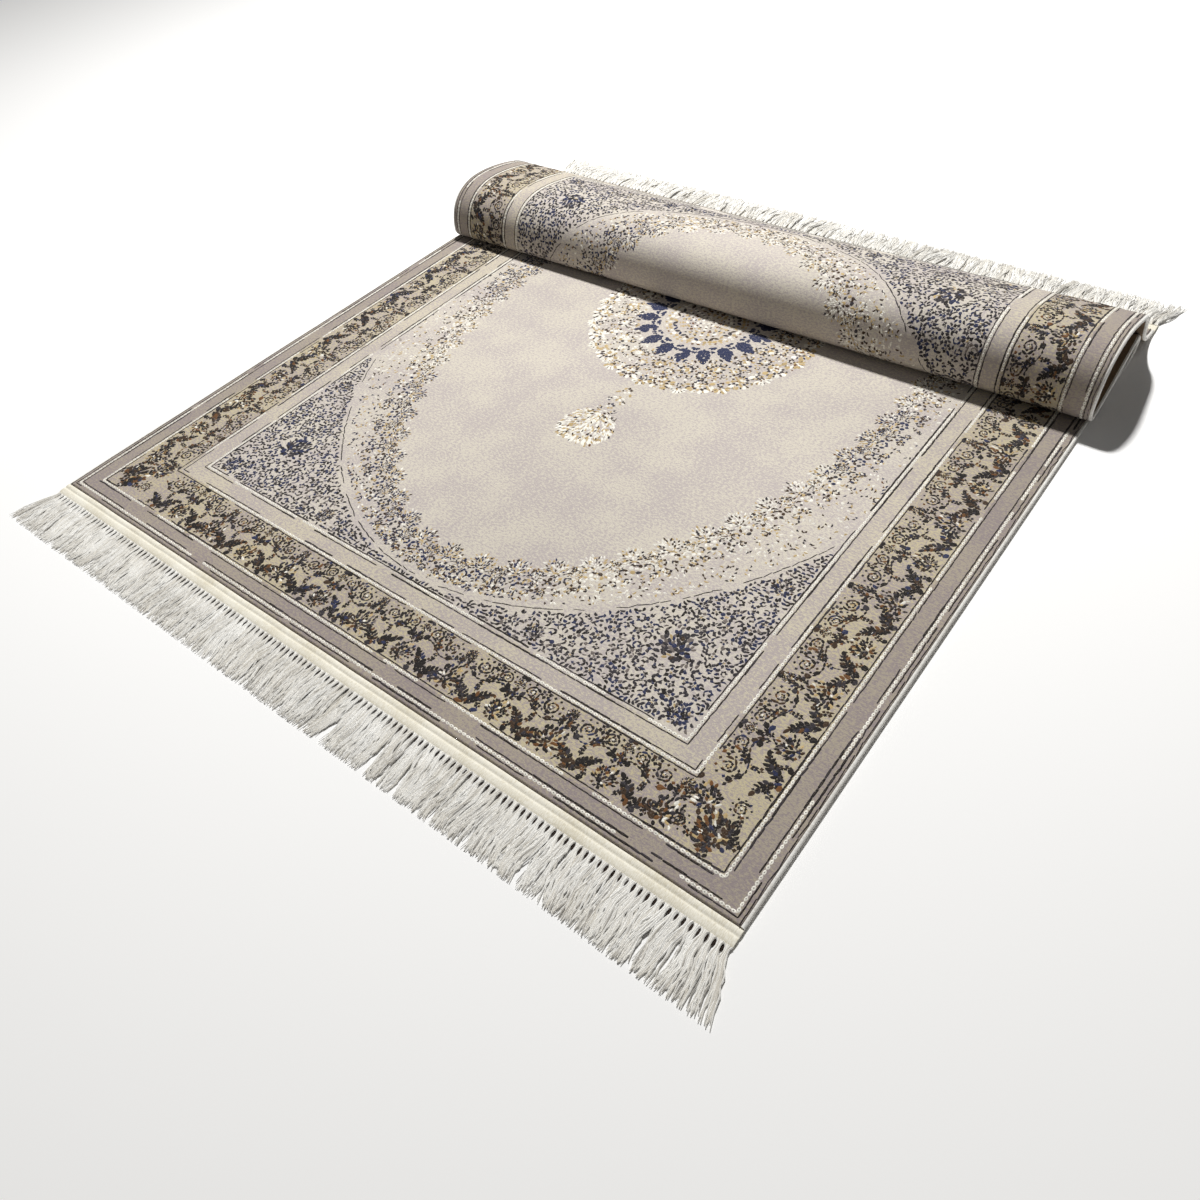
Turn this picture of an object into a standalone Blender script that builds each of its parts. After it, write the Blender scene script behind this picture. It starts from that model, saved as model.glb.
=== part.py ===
"""A woven pile carpet with knotted fringes, in metres with +Z up.

The near part lies flat on the floor. The far part is turned back over itself
and forward again, so that three loose layers stand up like a roll. Its near
end tape and fringe lie flat in front, and its far ones lie flat behind.
"""

import math
from collections import namedtuple

import bmesh
import bpy
import numpy as np

# Driving dimensions
WIDTH = 1.600  # over both serged side edges
THICKNESS = 0.009  # pile and backing together
SERGING_WIDTH = 0.005  # the overcast binding along a side edge
SERGING_HEIGHT = 0.0084
HEADING_WIDTH = 0.027  # the woven tape across an end
HEADING_INNER_HEIGHT = 0.0065
HEADING_OUTER_HEIGHT = 0.0040
TASSEL_LENGTH = 0.098
TASSEL_COUNT = 141
TASSEL_UNEVENNESS = 0.006  # the longest is this much longer than the shortest
KNOT_ROW_WIDTH = 0.008  # the solid strip that the tassels hang from
FRINGE_ROOT_HEIGHT = 0.0055
FRINGE_TIP_HEIGHT = 0.0035
TASSEL_TIP_SHARE = 0.84  # how much of its pitch a tassel's tip fills
CORNER_FLARE = 0.032  # how far the outermost tassel leans outwards
CORNER_FLARE_REACH = 0.075  # how far in from the corner that lean dies away
TASSEL_WANDER = 0.004  # how far the other tassels lean, in slow waves
CLEARANCE = 0.0003  # between touching pieces

# How the fold lies
FOLD_SKEW = 0.0065  # the turned-back part has slid this far to the right
FOLD_SAG = 0.007  # the crown hangs this much lower at mid width
FAR_END = 1.538  # how far behind the near end of the pile its far end lies
SECTIONS = 9  # cross-sections from the left edge to the right one

# The carpet's centre line in side view, as one row for each stretch, from the
# near end to the far one. A stretch has a length in metres and a turn in
# degrees, positive upwards and back, on the left edge and on the right one.
# Both edges add up to the same length and the same turn.
Stretch = namedtuple("Stretch", "name left_length left_turn right_length right_turn steps")
FOLD = (
    Stretch("floor_run", 1.413, 0.0, 1.418, 0.0, 6),
    Stretch("back_fold", 0.080, 188.5, 0.080, 190.0, 12),
    Stretch("middle_run", 0.252, 0.0, 0.211, 0.0, 3),
    Stretch("tuck", 0.026, -98.5, 0.067, -100.0, 9),
    Stretch("front", 0.050, -25.5, 0.050, -25.5, 4),
    Stretch("shoulder", 0.050, -38.0, 0.050, -41.5, 5),
    Stretch("brow", 0.050, -23.0, 0.050, -21.5, 4),
    Stretch("crown", 0.050, -10.0, 0.050, -15.5, 3),
    Stretch("top", 0.104, -10.5, 0.079, -3.5, 3),
    Stretch("drop", 0.090, -41.5, 0.065, -48.5, 6),
    Stretch("toe", 0.095, 58.5, 0.140, 66.0, 8),
)

Finish = namedtuple("Finish", "colour roughness")
PILE = Finish((0.60, 0.56, 0.52), 0.85)
SERGING = Finish((0.90, 0.89, 0.85), 0.75)
HEADING = Finish((0.88, 0.86, 0.78), 0.80)
TASSEL = Finish((0.92, 0.91, 0.85), 0.60)


def clear_scene():
    """Remove whatever the scene holds."""
    for thing in list(bpy.data.objects):
        bpy.data.objects.remove(thing, do_unlink=True)


def material(name, finish):
    """One Principled material of a finish's colour and roughness."""
    made = bpy.data.materials.new(name)
    made.use_nodes = True
    shader = made.node_tree.nodes["Principled BSDF"]
    shader.inputs["Base Color"].default_value = (*finish.colour, 1.0)
    shader.inputs["Roughness"].default_value = finish.roughness
    shader.inputs["Metallic"].default_value = 0.0
    return made


def smooth(value):
    """A soft step from 0 to 1 as value goes from 0 to 1."""
    held = np.clip(value, 0.0, 1.0)
    return held * held * (3.0 - 2.0 * held)


def stretch_ends():
    """How far along the left edge's centre line each stretch ends, by name."""
    ends = {}
    along = 0.0
    for row in FOLD:
        along += row.left_length
        ends[row.name] = along
    return ends


ENDS = stretch_ends()
PILE_LENGTH = ENDS["toe"]


def centre_line(across):
    """Stations of the centre line at a share of the width, 0 left and 1 right.

    Each station is (y, z, direction in radians, length so far). The line turns
    evenly within a stretch, so each step is the chord of an arc.
    """
    y, z, direction, along = 0.0, THICKNESS / 2, 0.0, 0.0
    stations = [(y, z, direction, along)]
    for row in FOLD:
        length = (1 - across) * row.left_length + across * row.right_length
        turn = math.radians((1 - across) * row.left_turn + across * row.right_turn)
        step, bend = length / row.steps, turn / row.steps
        chord = step if bend == 0 else step * math.sin(bend / 2) / (bend / 2)
        for _ in range(row.steps):
            y += chord * math.cos(direction + bend / 2)
            z += chord * math.sin(direction + bend / 2)
            direction += bend
            along += step
            stations.append((y, z, direction, along))
    return np.array(stations)


def settled_line(across):
    """The centre line once the crown has sagged and the far end has come down.

    The sag is greatest at mid width and half-way over the fold. What the far
    end is still off its straight line on the floor is taken out softly along
    the drop and the toe.
    """
    line = centre_line(across)
    along = line[:, 3]
    over_fold = np.clip((along - ENDS["tuck"]) / (ENDS["drop"] - ENDS["tuck"]), 0.0, 1.0)
    line[:, 1] -= FOLD_SAG * math.sin(math.pi * across) * np.sin(math.pi * over_fold) ** 2
    landing = smooth((along - ENDS["top"]) / (PILE_LENGTH - ENDS["top"]))
    line[:, 0] += (FAR_END - line[-1, 0]) * landing
    line[:, 1] += (THICKNESS / 2 - line[-1, 1]) * landing
    return line


def slide_right(along):
    """How far each station has slid to the right, which grows from the back fold on."""
    return FOLD_SKEW * smooth((along - ENDS["floor_run"]) / (ENDS["middle_run"] - ENDS["floor_run"]))


def points_off(line, across_x, raise_by):
    """Points beside a centre line: across_x from mid width, and raise_by towards the pile."""
    y, z, direction, along = line.T
    return np.stack(
        [
            across_x + slide_right(along),
            y - raise_by * np.sin(direction),
            z + raise_by * np.cos(direction),
        ],
        axis=1,
    )


def add_solid(name, vertices, faces, finish):
    """A named object from vertices and faces, with its faces turned outwards."""
    mesh = bpy.data.meshes.new(name)
    mesh.from_pydata([tuple(v) for v in vertices], [], faces)
    shape = bmesh.new()
    shape.from_mesh(mesh)
    bmesh.ops.recalc_face_normals(shape, faces=shape.faces)
    shape.to_mesh(mesh)
    shape.free()
    mesh.materials.append(material(name, finish))
    made = bpy.data.objects.new(name, mesh)
    bpy.context.scene.collection.objects.link(made)
    return made


def carry_rings(name, rings, finish):
    """A closed solid through rings of points, each ring joined to the next and both ends capped."""
    rings = np.asarray(rings)
    count, size = rings.shape[:2]
    faces = []
    for ring in range(count - 1):
        for corner in range(size):
            beside = (corner + 1) % size
            start, after = ring * size, (ring + 1) * size
            faces.append((start + corner, start + beside, after + beside, after + corner))
    faces.append(tuple(range(size)))
    faces.append(tuple(range((count - 1) * size, count * size)))
    return add_solid(name, rings.reshape(-1, 3), faces, finish)


def carpet():
    """The pile sheet: its upper and under skins, side walls and end walls as one closed solid."""
    half = WIDTH / 2 - SERGING_WIDTH - CLEARANCE
    over, under = [], []
    for across in np.linspace(0.0, 1.0, SECTIONS):
        line = settled_line(across)
        over.append(points_off(line, (2 * across - 1) * half, THICKNESS / 2))
        under.append(points_off(line, (2 * across - 1) * half, -THICKNESS / 2))
    stations = len(over[0])
    vertices = np.concatenate([np.concatenate(over), np.concatenate(under)])
    lower = SECTIONS * stations
    faces = []
    for column in range(SECTIONS - 1):
        for row in range(stations - 1):
            a = column * stations + row
            b = a + stations
            faces.append((a, b, b + 1, a + 1))
            faces.append((lower + a, lower + a + 1, lower + b + 1, lower + b))
    for column in (0, SECTIONS - 1):
        for row in range(stations - 1):
            a = column * stations + row
            faces.append((a, a + 1, lower + a + 1, lower + a))
    for row in (0, stations - 1):
        for column in range(SECTIONS - 1):
            a = column * stations + row
            b = a + stations
            faces.append((a, b, lower + b, lower + a))
    return add_solid("carpet", vertices, faces, PILE)


def serging(name, side):
    """The binding along one side edge, six-sided in section; side is -1 for left and 1 for right."""
    line = settled_line((1 + side) / 2)
    inner = WIDTH / 2 - SERGING_WIDTH
    outer = WIDTH / 2
    chamfer = SERGING_WIDTH * 0.45
    corner = SERGING_HEIGHT / 2
    outline = (
        (inner, -corner),
        (outer - chamfer, -corner),
        (outer, 0.0),
        (outer - chamfer, corner),
        (inner, corner),
    )
    strands = [points_off(line, side * x, rise) for x, rise in outline]
    return carry_rings(name, np.stack(strands, axis=1), SERGING)


def heading(name, start_y, outwards, slide):
    """The end tape, which thins away from the pile; outwards is -1 at the near end and 1 at the far one."""
    left, right = slide - WIDTH / 2, slide + WIDTH / 2
    inner_y = start_y + outwards * CLEARANCE
    outer_y = start_y + outwards * (HEADING_WIDTH - CLEARANCE)
    outline = (
        (inner_y, 0.0),
        (outer_y, 0.0),
        (outer_y, HEADING_OUTER_HEIGHT),
        (inner_y, HEADING_INNER_HEIGHT),
    )
    rings = [[(x, y, z) for y, z in outline] for x in (left, right)]
    return carry_rings(name, rings, HEADING)


def tassel_lean(x):
    """How far a tassel's tip lies beside its root: slow waves, and an outward lean at each corner."""
    to_edge = np.clip((WIDTH / 2 - np.abs(x)) / CORNER_FLARE_REACH, 0.0, 1.0)
    waves = np.sin(19.0 * x + 0.6) + 0.6 * np.sin(41.0 * x + 2.0)
    return np.sign(x) * CORNER_FLARE * (1 - to_edge) ** 2 + TASSEL_WANDER * waves * smooth(to_edge)


def fringe(name, start_y, outwards, slide, seed):
    """The fringe as one comb: a strip of knots, and a tassel for each pitch that narrows to its tip."""
    drawn = np.random.default_rng(seed)
    roots = np.linspace(-WIDTH / 2, WIDTH / 2, TASSEL_COUNT + 1)
    middles = (roots[:-1] + roots[1:]) / 2
    half_tip = TASSEL_TIP_SHARE * (roots[1] - roots[0]) / 2
    lengths = TASSEL_LENGTH - TASSEL_UNEVENNESS * drawn.random(TASSEL_COUNT)
    lengths[[0, -1]] = TASSEL_LENGTH
    inner_y = start_y
    knot_y = start_y + outwards * KNOT_ROW_WIDTH
    upper = []
    for x in roots:
        upper.append((x, inner_y, FRINGE_ROOT_HEIGHT))
        upper.append((x, knot_y, FRINGE_ROOT_HEIGHT))
    first_tip = len(upper)
    for middle, length in zip(middles, lengths):
        tip_y = start_y + outwards * length
        for edge in (middle - half_tip, middle + half_tip):
            upper.append((edge + tassel_lean(edge), tip_y, FRINGE_TIP_HEIGHT))
    lower = len(upper)
    vertices = [(x + slide, y, z) for x, y, z in upper]
    vertices += [(x, y, 0.0) for x, y, _ in vertices]
    faces = []
    walls = [(0, 1), (2 * TASSEL_COUNT, 2 * TASSEL_COUNT + 1)]
    for tooth in range(TASSEL_COUNT):
        inner, knot = 2 * tooth, 2 * tooth + 1
        tip = first_tip + 2 * tooth
        faces.append((inner, knot, knot + 2, inner + 2))
        faces.append((knot, tip, tip + 1, knot + 2))
        walls += [(inner, inner + 2), (knot, tip), (tip, tip + 1), (tip + 1, knot + 2)]
    faces += [tuple(lower + corner for corner in face) for face in faces]
    faces += [(a, b, lower + b, lower + a) for a, b in walls]
    return add_solid(name, vertices, faces, TASSEL)


def centre_on_origin(pieces):
    """Place the pieces so that their common box stands on the origin, at the middle of its base."""
    corners = np.array([vertex.co for piece in pieces for vertex in piece.data.vertices])
    low, high = corners.min(axis=0), corners.max(axis=0)
    middle = (low + high) / 2
    for piece in pieces:
        piece.location = (-middle[0], -middle[1], -low[2])


def main():
    """Build every piece, then stand them on the origin."""
    clear_scene()
    pieces = [
        carpet(),
        serging("serging_left", -1),
        serging("serging_right", 1),
        heading("heading_near", 0.0, -1, 0.0),
        heading("heading_far", FAR_END, 1, FOLD_SKEW),
        fringe("fringe_near", -HEADING_WIDTH, -1, 0.0, 3),
        fringe("fringe_far", FAR_END + HEADING_WIDTH, 1, FOLD_SKEW, 8),
    ]
    centre_on_origin(pieces)


main()
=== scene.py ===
"""A woven pile carpet, folded back over itself so that it stands up like a loose roll.

The near part lies flat. Over it stand three layers of the same cloth. The pile carries an old
garden design: a round medallion with a pendant at each end, an oval field ringed with small
bouquets, scrolling corners, and a leafy border between chained guard stripes. Every figure of
the design is a low tuft of dyed pile, laid out on the flat cloth and then carried onto the fold.
All sizes are in metres, with +Z up.
"""

import logging
import math
from dataclasses import dataclass, field
from enum import Enum

import bpy
import numpy as np
from mathutils import Matrix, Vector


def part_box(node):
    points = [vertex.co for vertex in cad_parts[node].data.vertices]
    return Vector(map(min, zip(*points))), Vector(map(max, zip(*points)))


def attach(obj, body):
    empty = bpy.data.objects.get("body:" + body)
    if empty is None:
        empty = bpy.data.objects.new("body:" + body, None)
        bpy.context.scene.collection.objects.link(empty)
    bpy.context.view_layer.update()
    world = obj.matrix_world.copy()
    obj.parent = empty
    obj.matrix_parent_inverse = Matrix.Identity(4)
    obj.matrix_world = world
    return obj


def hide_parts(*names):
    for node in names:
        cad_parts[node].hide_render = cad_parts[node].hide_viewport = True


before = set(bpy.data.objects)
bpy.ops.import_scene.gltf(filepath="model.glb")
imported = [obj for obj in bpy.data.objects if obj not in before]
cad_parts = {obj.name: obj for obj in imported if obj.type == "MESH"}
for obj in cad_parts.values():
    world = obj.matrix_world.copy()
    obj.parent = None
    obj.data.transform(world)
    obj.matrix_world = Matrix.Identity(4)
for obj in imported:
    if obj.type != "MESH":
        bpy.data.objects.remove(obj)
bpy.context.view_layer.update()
LOG = logging.getLogger("carpet")
Array = np.ndarray


# ---------------------------------------------------------------- numbers worked out as arrays
def soft_step(value: Array, low: float = 0.0, high: float = 1.0) -> Array:
    """A step from 0 at low to 1 at high whose ends are level: three squares less two cubes.

    Args:
        value: the numbers to step.
        low: where the step starts.
        high: where it ends.

    Returns:
        The stepped numbers, from 0 to 1.
    """
    held = np.clip((value - low) / (high - low), 0.0, 1.0)
    return held * held * (3.0 - 2.0 * held)


def waves(x: Array, y: Array, pitch: float, seed: int) -> Array:
    """Slow seeded waves over the cloth: the mean of five sines in turned directions.

    Args:
        x: places across the cloth.
        y: places along it.
        pitch: about how far apart the crests are.
        seed: which set of waves.

    Returns:
        A value near 0.5 on average, from 0 to 1.
    """
    drawn = np.random.default_rng(seed)
    total = np.zeros(np.broadcast(x, y).shape)
    for _ in range(5):
        turn, phase, stretch = drawn.random(3) * (math.tau, math.tau, 0.8)
        rate = math.tau / (pitch * (0.7 + stretch))
        total += np.sin(rate * (x * math.cos(turn) + y * math.sin(turn)) + phase)
    return np.clip(0.5 + total / 5.0, 0.0, 1.0)


def linear(shade: tuple[int, int, int]) -> tuple[float, float, float, float]:
    """A colour as the shader wants it, from three steps of 0 to 255 as the eye reads them."""
    parts = [c / 255.0 for c in shade]
    return (*[p / 12.92 if p <= 0.04045 else ((p + 0.055) / 1.055) ** 2.4 for p in parts], 1.0)


# ---------------------------------------------------------------- how the cloth is folded
@dataclass(frozen=True)
class Stretch:
    """A length of cloth that turns evenly, on the left edge and on the right one.

    Lengths are in metres. Turns are in degrees, positive upwards and back.
    """

    name: str
    left_length: float
    left_turn: float
    right_length: float
    right_turn: float


@dataclass
class Fold:
    """Where each point of the flat cloth comes to lie once the cloth is folded."""

    width: float = 1.600
    length: float = 2.260
    thickness: float = 0.009
    skew: float = 0.0065
    sag: float = 0.007
    far_end: float = 1.538
    swell: float = 0.0010
    step: float = 0.002
    sections: int = 33
    stretches: tuple[Stretch, ...] = (
        Stretch("floor_run", 1.413, 0.0, 1.418, 0.0),
        Stretch("back_fold", 0.080, 188.5, 0.080, 190.0),
        Stretch("middle_run", 0.252, 0.0, 0.211, 0.0),
        Stretch("tuck", 0.026, -98.5, 0.067, -100.0),
        Stretch("front", 0.050, -25.5, 0.050, -25.5),
        Stretch("shoulder", 0.050, -38.0, 0.050, -41.5),
        Stretch("brow", 0.050, -23.0, 0.050, -21.5),
        Stretch("crown", 0.050, -10.0, 0.050, -15.5),
        Stretch("top", 0.104, -10.5, 0.079, -3.5),
        Stretch("drop", 0.090, -41.5, 0.065, -48.5),
        Stretch("toe", 0.095, 58.5, 0.140, 66.0),
    )
    lines: Array = field(init=False)
    near_y: float = field(init=False)
    middle_x: float = field(init=False)

    def __post_init__(self) -> None:
        """Work out the centre surface, and where the flat cloth's origin lies in the frame."""
        self.near_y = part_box("carpet")[0][1]
        low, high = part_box("heading_near")
        self.middle_x = (low[0] + high[0]) / 2
        shares = np.linspace(0.0, 1.0, self.sections)
        self.lines = np.stack([self._line(share) for share in shares])

    def ends(self) -> dict[str, float]:
        """How far along the left edge each stretch ends, by name."""
        reached = np.cumsum([s.left_length for s in self.stretches])
        return {s.name: float(r) for s, r in zip(self.stretches, reached)}

    def _line(self, share: float) -> Array:
        """The centre line at a share of the width, 0 left and 1 right.

        The heading turns evenly within a stretch. The line is the running sum of short steps
        along it. The crown then sags at mid width, and the far end comes down onto its place.

        Args:
            share: where across the cloth.

        Returns:
            One row of slide, y, z and heading for each station.
        """
        sizes = np.array(
            [(s.left_length, s.left_turn, s.right_length, s.right_turn) for s in self.stretches]
        )
        lengths = (1 - share) * sizes[:, 0] + share * sizes[:, 2]
        turns = (1 - share) * sizes[:, 1] + share * sizes[:, 3]
        reached = np.concatenate([[0.0], np.cumsum(lengths)])
        turned = np.radians(np.concatenate([[0.0], np.cumsum(turns)]))
        along = np.linspace(0.0, self.length, round(self.length / self.step) + 1)
        middles = (along[1:] + along[:-1]) / 2
        pace = along[1] - along[0]
        slope = np.interp(middles, reached, turned)
        y = np.concatenate([[0.0], np.cumsum(pace * np.cos(slope))])
        z = self.thickness / 2 + np.concatenate([[0.0], np.cumsum(pace * np.sin(slope))])
        at = self.ends()
        over = np.clip((along - at["tuck"]) / (at["drop"] - at["tuck"]), 0.0, 1.0)
        z -= self.sag * math.sin(math.pi * share) * np.sin(math.pi * over) ** 2
        landing = soft_step(along, at["top"], self.length)
        y += (self.far_end - y[-1]) * landing
        z += (self.thickness / 2 - z[-1]) * landing
        slide = self.skew * soft_step(along, at["floor_run"], at["middle_run"])
        return np.stack([slide, y, z, np.interp(along, reached, turned)], axis=1)

    def place(self, x: Array, along: Array, lift: Array | float) -> Array:
        """Points of the folded cloth, read between the four stations round each of them.

        The cloth also rises a little in slow swells, as a heavy cloth does on a floor.

        Args:
            x: places across the flat cloth, from its middle.
            along: places along it, from its near end.
            lift: how far from the centre surface, towards the pile.

        Returns:
            The points in the frame, with one more axis for x, y and z.
        """
        x, along, lift = np.broadcast_arrays(x, along, lift)
        across = np.clip(x / self.width + 0.5, 0.0, 1.0) * (self.sections - 1)
        down = np.clip(along / self.length, 0.0, 1.0) * (self.lines.shape[1] - 1)
        i = np.minimum(across.astype(int), self.sections - 2)
        j = np.minimum(down.astype(int), self.lines.shape[1] - 2)
        a, b = (across - i)[..., None], (down - j)[..., None]
        left = self.lines[i, j] * (1 - b) + self.lines[i, j + 1] * b
        right = self.lines[i + 1, j] * (1 - b) + self.lines[i + 1, j + 1] * b
        slide, y, z, slope = np.moveaxis(left * (1 - a) + right * a, -1, 0)
        rise = self.swell * waves(x, along, 0.55, 5) * soft_step(along, 0.0, 0.12)
        return np.stack(
            [
                self.middle_x + x + slide,
                self.near_y + y - lift * np.sin(slope),
                z + lift * np.cos(slope) + rise,
            ],
            axis=-1,
        )


# ---------------------------------------------------------------- shader maths
@dataclass(frozen=True)
class Wire:
    """One output of a node, which arithmetic turns into Math nodes."""

    net: "Net"
    socket: bpy.types.NodeSocket

    def _with(self, operation: str, first: "Wire | float", second: "Wire | float") -> "Wire":
        """The result of a Math node on two values."""
        made = self.net.node("ShaderNodeMath", {"operation": operation}, {0: first, 1: second})
        return Wire(self.net, made.outputs[0])

    def __add__(self, other: "Wire | float") -> "Wire":
        """This plus other."""
        return self._with("ADD", self, other)

    def __radd__(self, other: float) -> "Wire":
        """Other plus this."""
        return self._with("ADD", other, self)

    def __sub__(self, other: "Wire | float") -> "Wire":
        """This less other."""
        return self._with("SUBTRACT", self, other)

    def __rsub__(self, other: float) -> "Wire":
        """Other less this."""
        return self._with("SUBTRACT", other, self)

    def __mul__(self, other: "Wire | float") -> "Wire":
        """This times other."""
        return self._with("MULTIPLY", self, other)

    def __rmul__(self, other: float) -> "Wire":
        """Other times this."""
        return self._with("MULTIPLY", other, self)

    def __abs__(self) -> "Wire":
        """This without its sign."""
        return self._with("ABSOLUTE", self, 0.0)

    def least(self, other: "Wire | float") -> "Wire":
        """The smaller of this and other."""
        return self._with("MINIMUM", self, other)

    def step(self, low: float, high: float) -> "Wire":
        """A soft step from 0 where this is low to 1 where it is high."""
        made = self.net.node(
            "ShaderNodeMapRange",
            {"interpolation_type": "SMOOTHSTEP"},
            {"Value": self, "From Min": low, "From Max": high},
        )
        return Wire(self.net, made.outputs["Result"])


class Net:
    """The nodes of one material, which ends in a Principled shader."""

    sheen_roughness = 0.45
    specular = 0.22

    def __init__(self, name: str) -> None:
        """Start a material of that name.

        Args:
            name: what the finish is called.
        """
        self.material = bpy.data.materials.new(name)
        self.material.use_nodes = True
        self.tree = self.material.node_tree
        self.shader = self.tree.nodes["Principled BSDF"]

    def node(self, kind: str, settings: dict, sockets: dict) -> bpy.types.Node:
        """Add a node.

        Args:
            kind: the node's type.
            settings: its own settings, which are set before its sockets.
            sockets: a value or a wire for each input, by name or number.

        Returns:
            The node.
        """
        made = self.tree.nodes.new(kind)
        for key, value in settings.items():
            setattr(made, key, value)
        for key, value in sockets.items():
            self.feed(made.inputs[key], value)
        return made

    def feed(self, socket: bpy.types.NodeSocket, value: object) -> None:
        """Link a wire to an input, or set the input's own value."""
        if isinstance(value, Wire):
            self.tree.links.new(value.socket, socket)
        else:
            socket.default_value = value

    def attribute(self, name: str, output: str = "Vector") -> Wire:
        """A named attribute of the piece's mesh."""
        made = self.node("ShaderNodeAttribute", {"attribute_name": name}, {})
        return Wire(self, made.outputs[output])

    def parts(self, vector: Wire) -> list[Wire]:
        """The three parts of a vector."""
        made = self.node("ShaderNodeSeparateXYZ", {}, {0: vector})
        return [Wire(self, output) for output in made.outputs]

    def scaled(self, vector: Wire, by: tuple[float, float, float]) -> Wire:
        """A vector with each part multiplied by its own number."""
        made = self.node("ShaderNodeVectorMath", {"operation": "MULTIPLY"}, {0: vector, 1: by})
        return Wire(self, made.outputs[0])

    def noise(self, vector: Wire, scale: float, detail: float = 2.0, rough: float = 0.5) -> Wire:
        """Cloudy noise from about 0.3 to 0.7, with scale clouds to the unit of the vector."""
        made = self.node(
            "ShaderNodeTexNoise",
            {"noise_dimensions": "3D"},
            {"Vector": vector, "Scale": scale, "Detail": detail, "Roughness": rough},
        )
        return Wire(self, made.outputs[0])

    def blend(self, share: "Wire | float", first: object, second: object) -> Wire:
        """A colour between two, by a share of the second."""
        made = self.node(
            "ShaderNodeMix", {"data_type": "RGBA"}, {0: share, 6: first, 7: second}
        )
        return Wire(self, made.outputs[2])

    def shaded(self, colour: "Wire | tuple[float, ...]", by: Wire) -> Wire:
        """A colour made lighter or darker by a number."""
        made = self.node("ShaderNodeVectorMath", {"operation": "SCALE"}, {0: colour, 3: by})
        return Wire(self, made.outputs[0])

    def bump(self, height: Wire, distance: float, strength: float) -> None:
        """Let a height in parts of distance tip the shader's normal."""
        made = self.node(
            "ShaderNodeBump", {}, {"Height": height, "Distance": distance, "Strength": strength}
        )
        self.feed(self.shader.inputs["Normal"], Wire(self, made.outputs[0]))

    def finish(self, colour: Wire, rough: "Wire | float", sheen: float) -> bpy.types.Material:
        """Feed the shader and give the material.

        Args:
            colour: the base colour.
            rough: the roughness.
            sheen: how much the fibres catch the light at a glancing angle.

        Returns:
            The material.
        """
        self.feed(self.shader.inputs["Base Color"], colour)
        self.feed(self.shader.inputs["Roughness"], rough)
        self.shader.inputs["Sheen Weight"].default_value = sheen
        self.shader.inputs["Sheen Roughness"].default_value = self.sheen_roughness
        self.shader.inputs["Specular IOR Level"].default_value = self.specular
        return self.material


# ---------------------------------------------------------------- finishes
@dataclass(frozen=True)
class PileFinish:
    """Mottled pile: lavender grey flecked with yellow beige, in large soft patches.

    Outside the border it is a darker lavender, and it is beige again between the inner guards.
    The underside is the woven back: its own colour, made darker and browner as painted shade and
    painted reflection of a brown floor.
    """

    lavender: tuple[int, int, int] = (166, 154, 150)
    beige: tuple[int, int, int] = (196, 184, 152)
    edge_lavender: tuple[int, int, int] = (150, 138, 136)
    edge_beige: tuple[int, int, int] = (170, 159, 142)
    field_lavender: tuple[int, int, int] = (187, 177, 173)
    field_beige: tuple[int, int, int] = (212, 204, 188)
    # The woven back's colour, darkened and browned as painted shade and painted floor reflection.
    back: tuple[int, int, int] = (128, 106, 80)
    half_width: float = 0.800
    length: float = 2.260
    border_inset: tuple[float, float] = (0.057, 0.043)
    band_inset: tuple[float, float] = (0.174, 0.151)
    field_inset: tuple[float, float] = (0.216, 0.189)

    def material(self) -> bpy.types.Material:
        """Wire up the finish.

        Returns:
            The material.
        """
        net = Net("mottled_pile")
        lay = net.attribute("lay")
        x, along, side = net.parts(lay)
        from_side = self.half_width - abs(x)
        from_end = along.least(self.length - along)

        def within(inset: tuple[float, float]) -> Wire:
            """1 inside a frame that far from the sides and the ends."""
            return (from_side - inset[0]).least(from_end - inset[1]).step(-0.001, 0.001)

        # The ground: fine flecks of two yarns, a little denser in large soft patches.
        patches = net.noise(lay, 9.0, 4.0).step(0.34, 0.66)
        grain = net.noise(net.scaled(lay, (150.0, 270.0, 1.0)), 1.0, 3.0, 0.8)
        flecks = (grain + patches * 0.08).step(0.48, 0.60)
        plain = net.blend(flecks, linear(self.edge_lavender), linear(self.edge_beige))
        leafy = net.blend(flecks, linear(self.lavender), linear(self.beige))
        inner = net.blend(flecks, linear(self.field_lavender), linear(self.field_beige))
        band = net.blend(0.55, leafy, inner)
        # From the edge inwards: the plain margin, the border, the band between guards, the field.
        colour = net.blend(within(self.border_inset), plain, leafy)
        colour = net.blend(within(self.band_inset), colour, band)
        colour = net.blend(within(self.field_inset), colour, inner)
        # Light and shade of the tufts, and broad worn places.
        tufts = net.noise(net.scaled(lay, (420.0, 620.0, 1.0)), 1.0, 2.0, 0.7)
        worn = net.noise(lay, 1.7, 1.0)
        colour = net.shaded(colour, 0.66 + tufts * 0.40 + worn * 0.26)
        weave = net.noise(net.scaled(lay, (900.0, 160.0, 1.0)), 1.0, 1.0)
        # The back's colour is partly its own, partly painted shade and painted brown floor
        # reflection.
        back = net.shaded(linear(self.back)[:3], 0.6 + weave * 0.8)
        colour = net.blend(side.step(0.45, 0.55), back, colour)
        net.bump(tufts + grain * 0.6, 0.0012, 0.55)
        return net.finish(colour, 0.86 - tufts * 0.12, 0.25)


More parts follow.
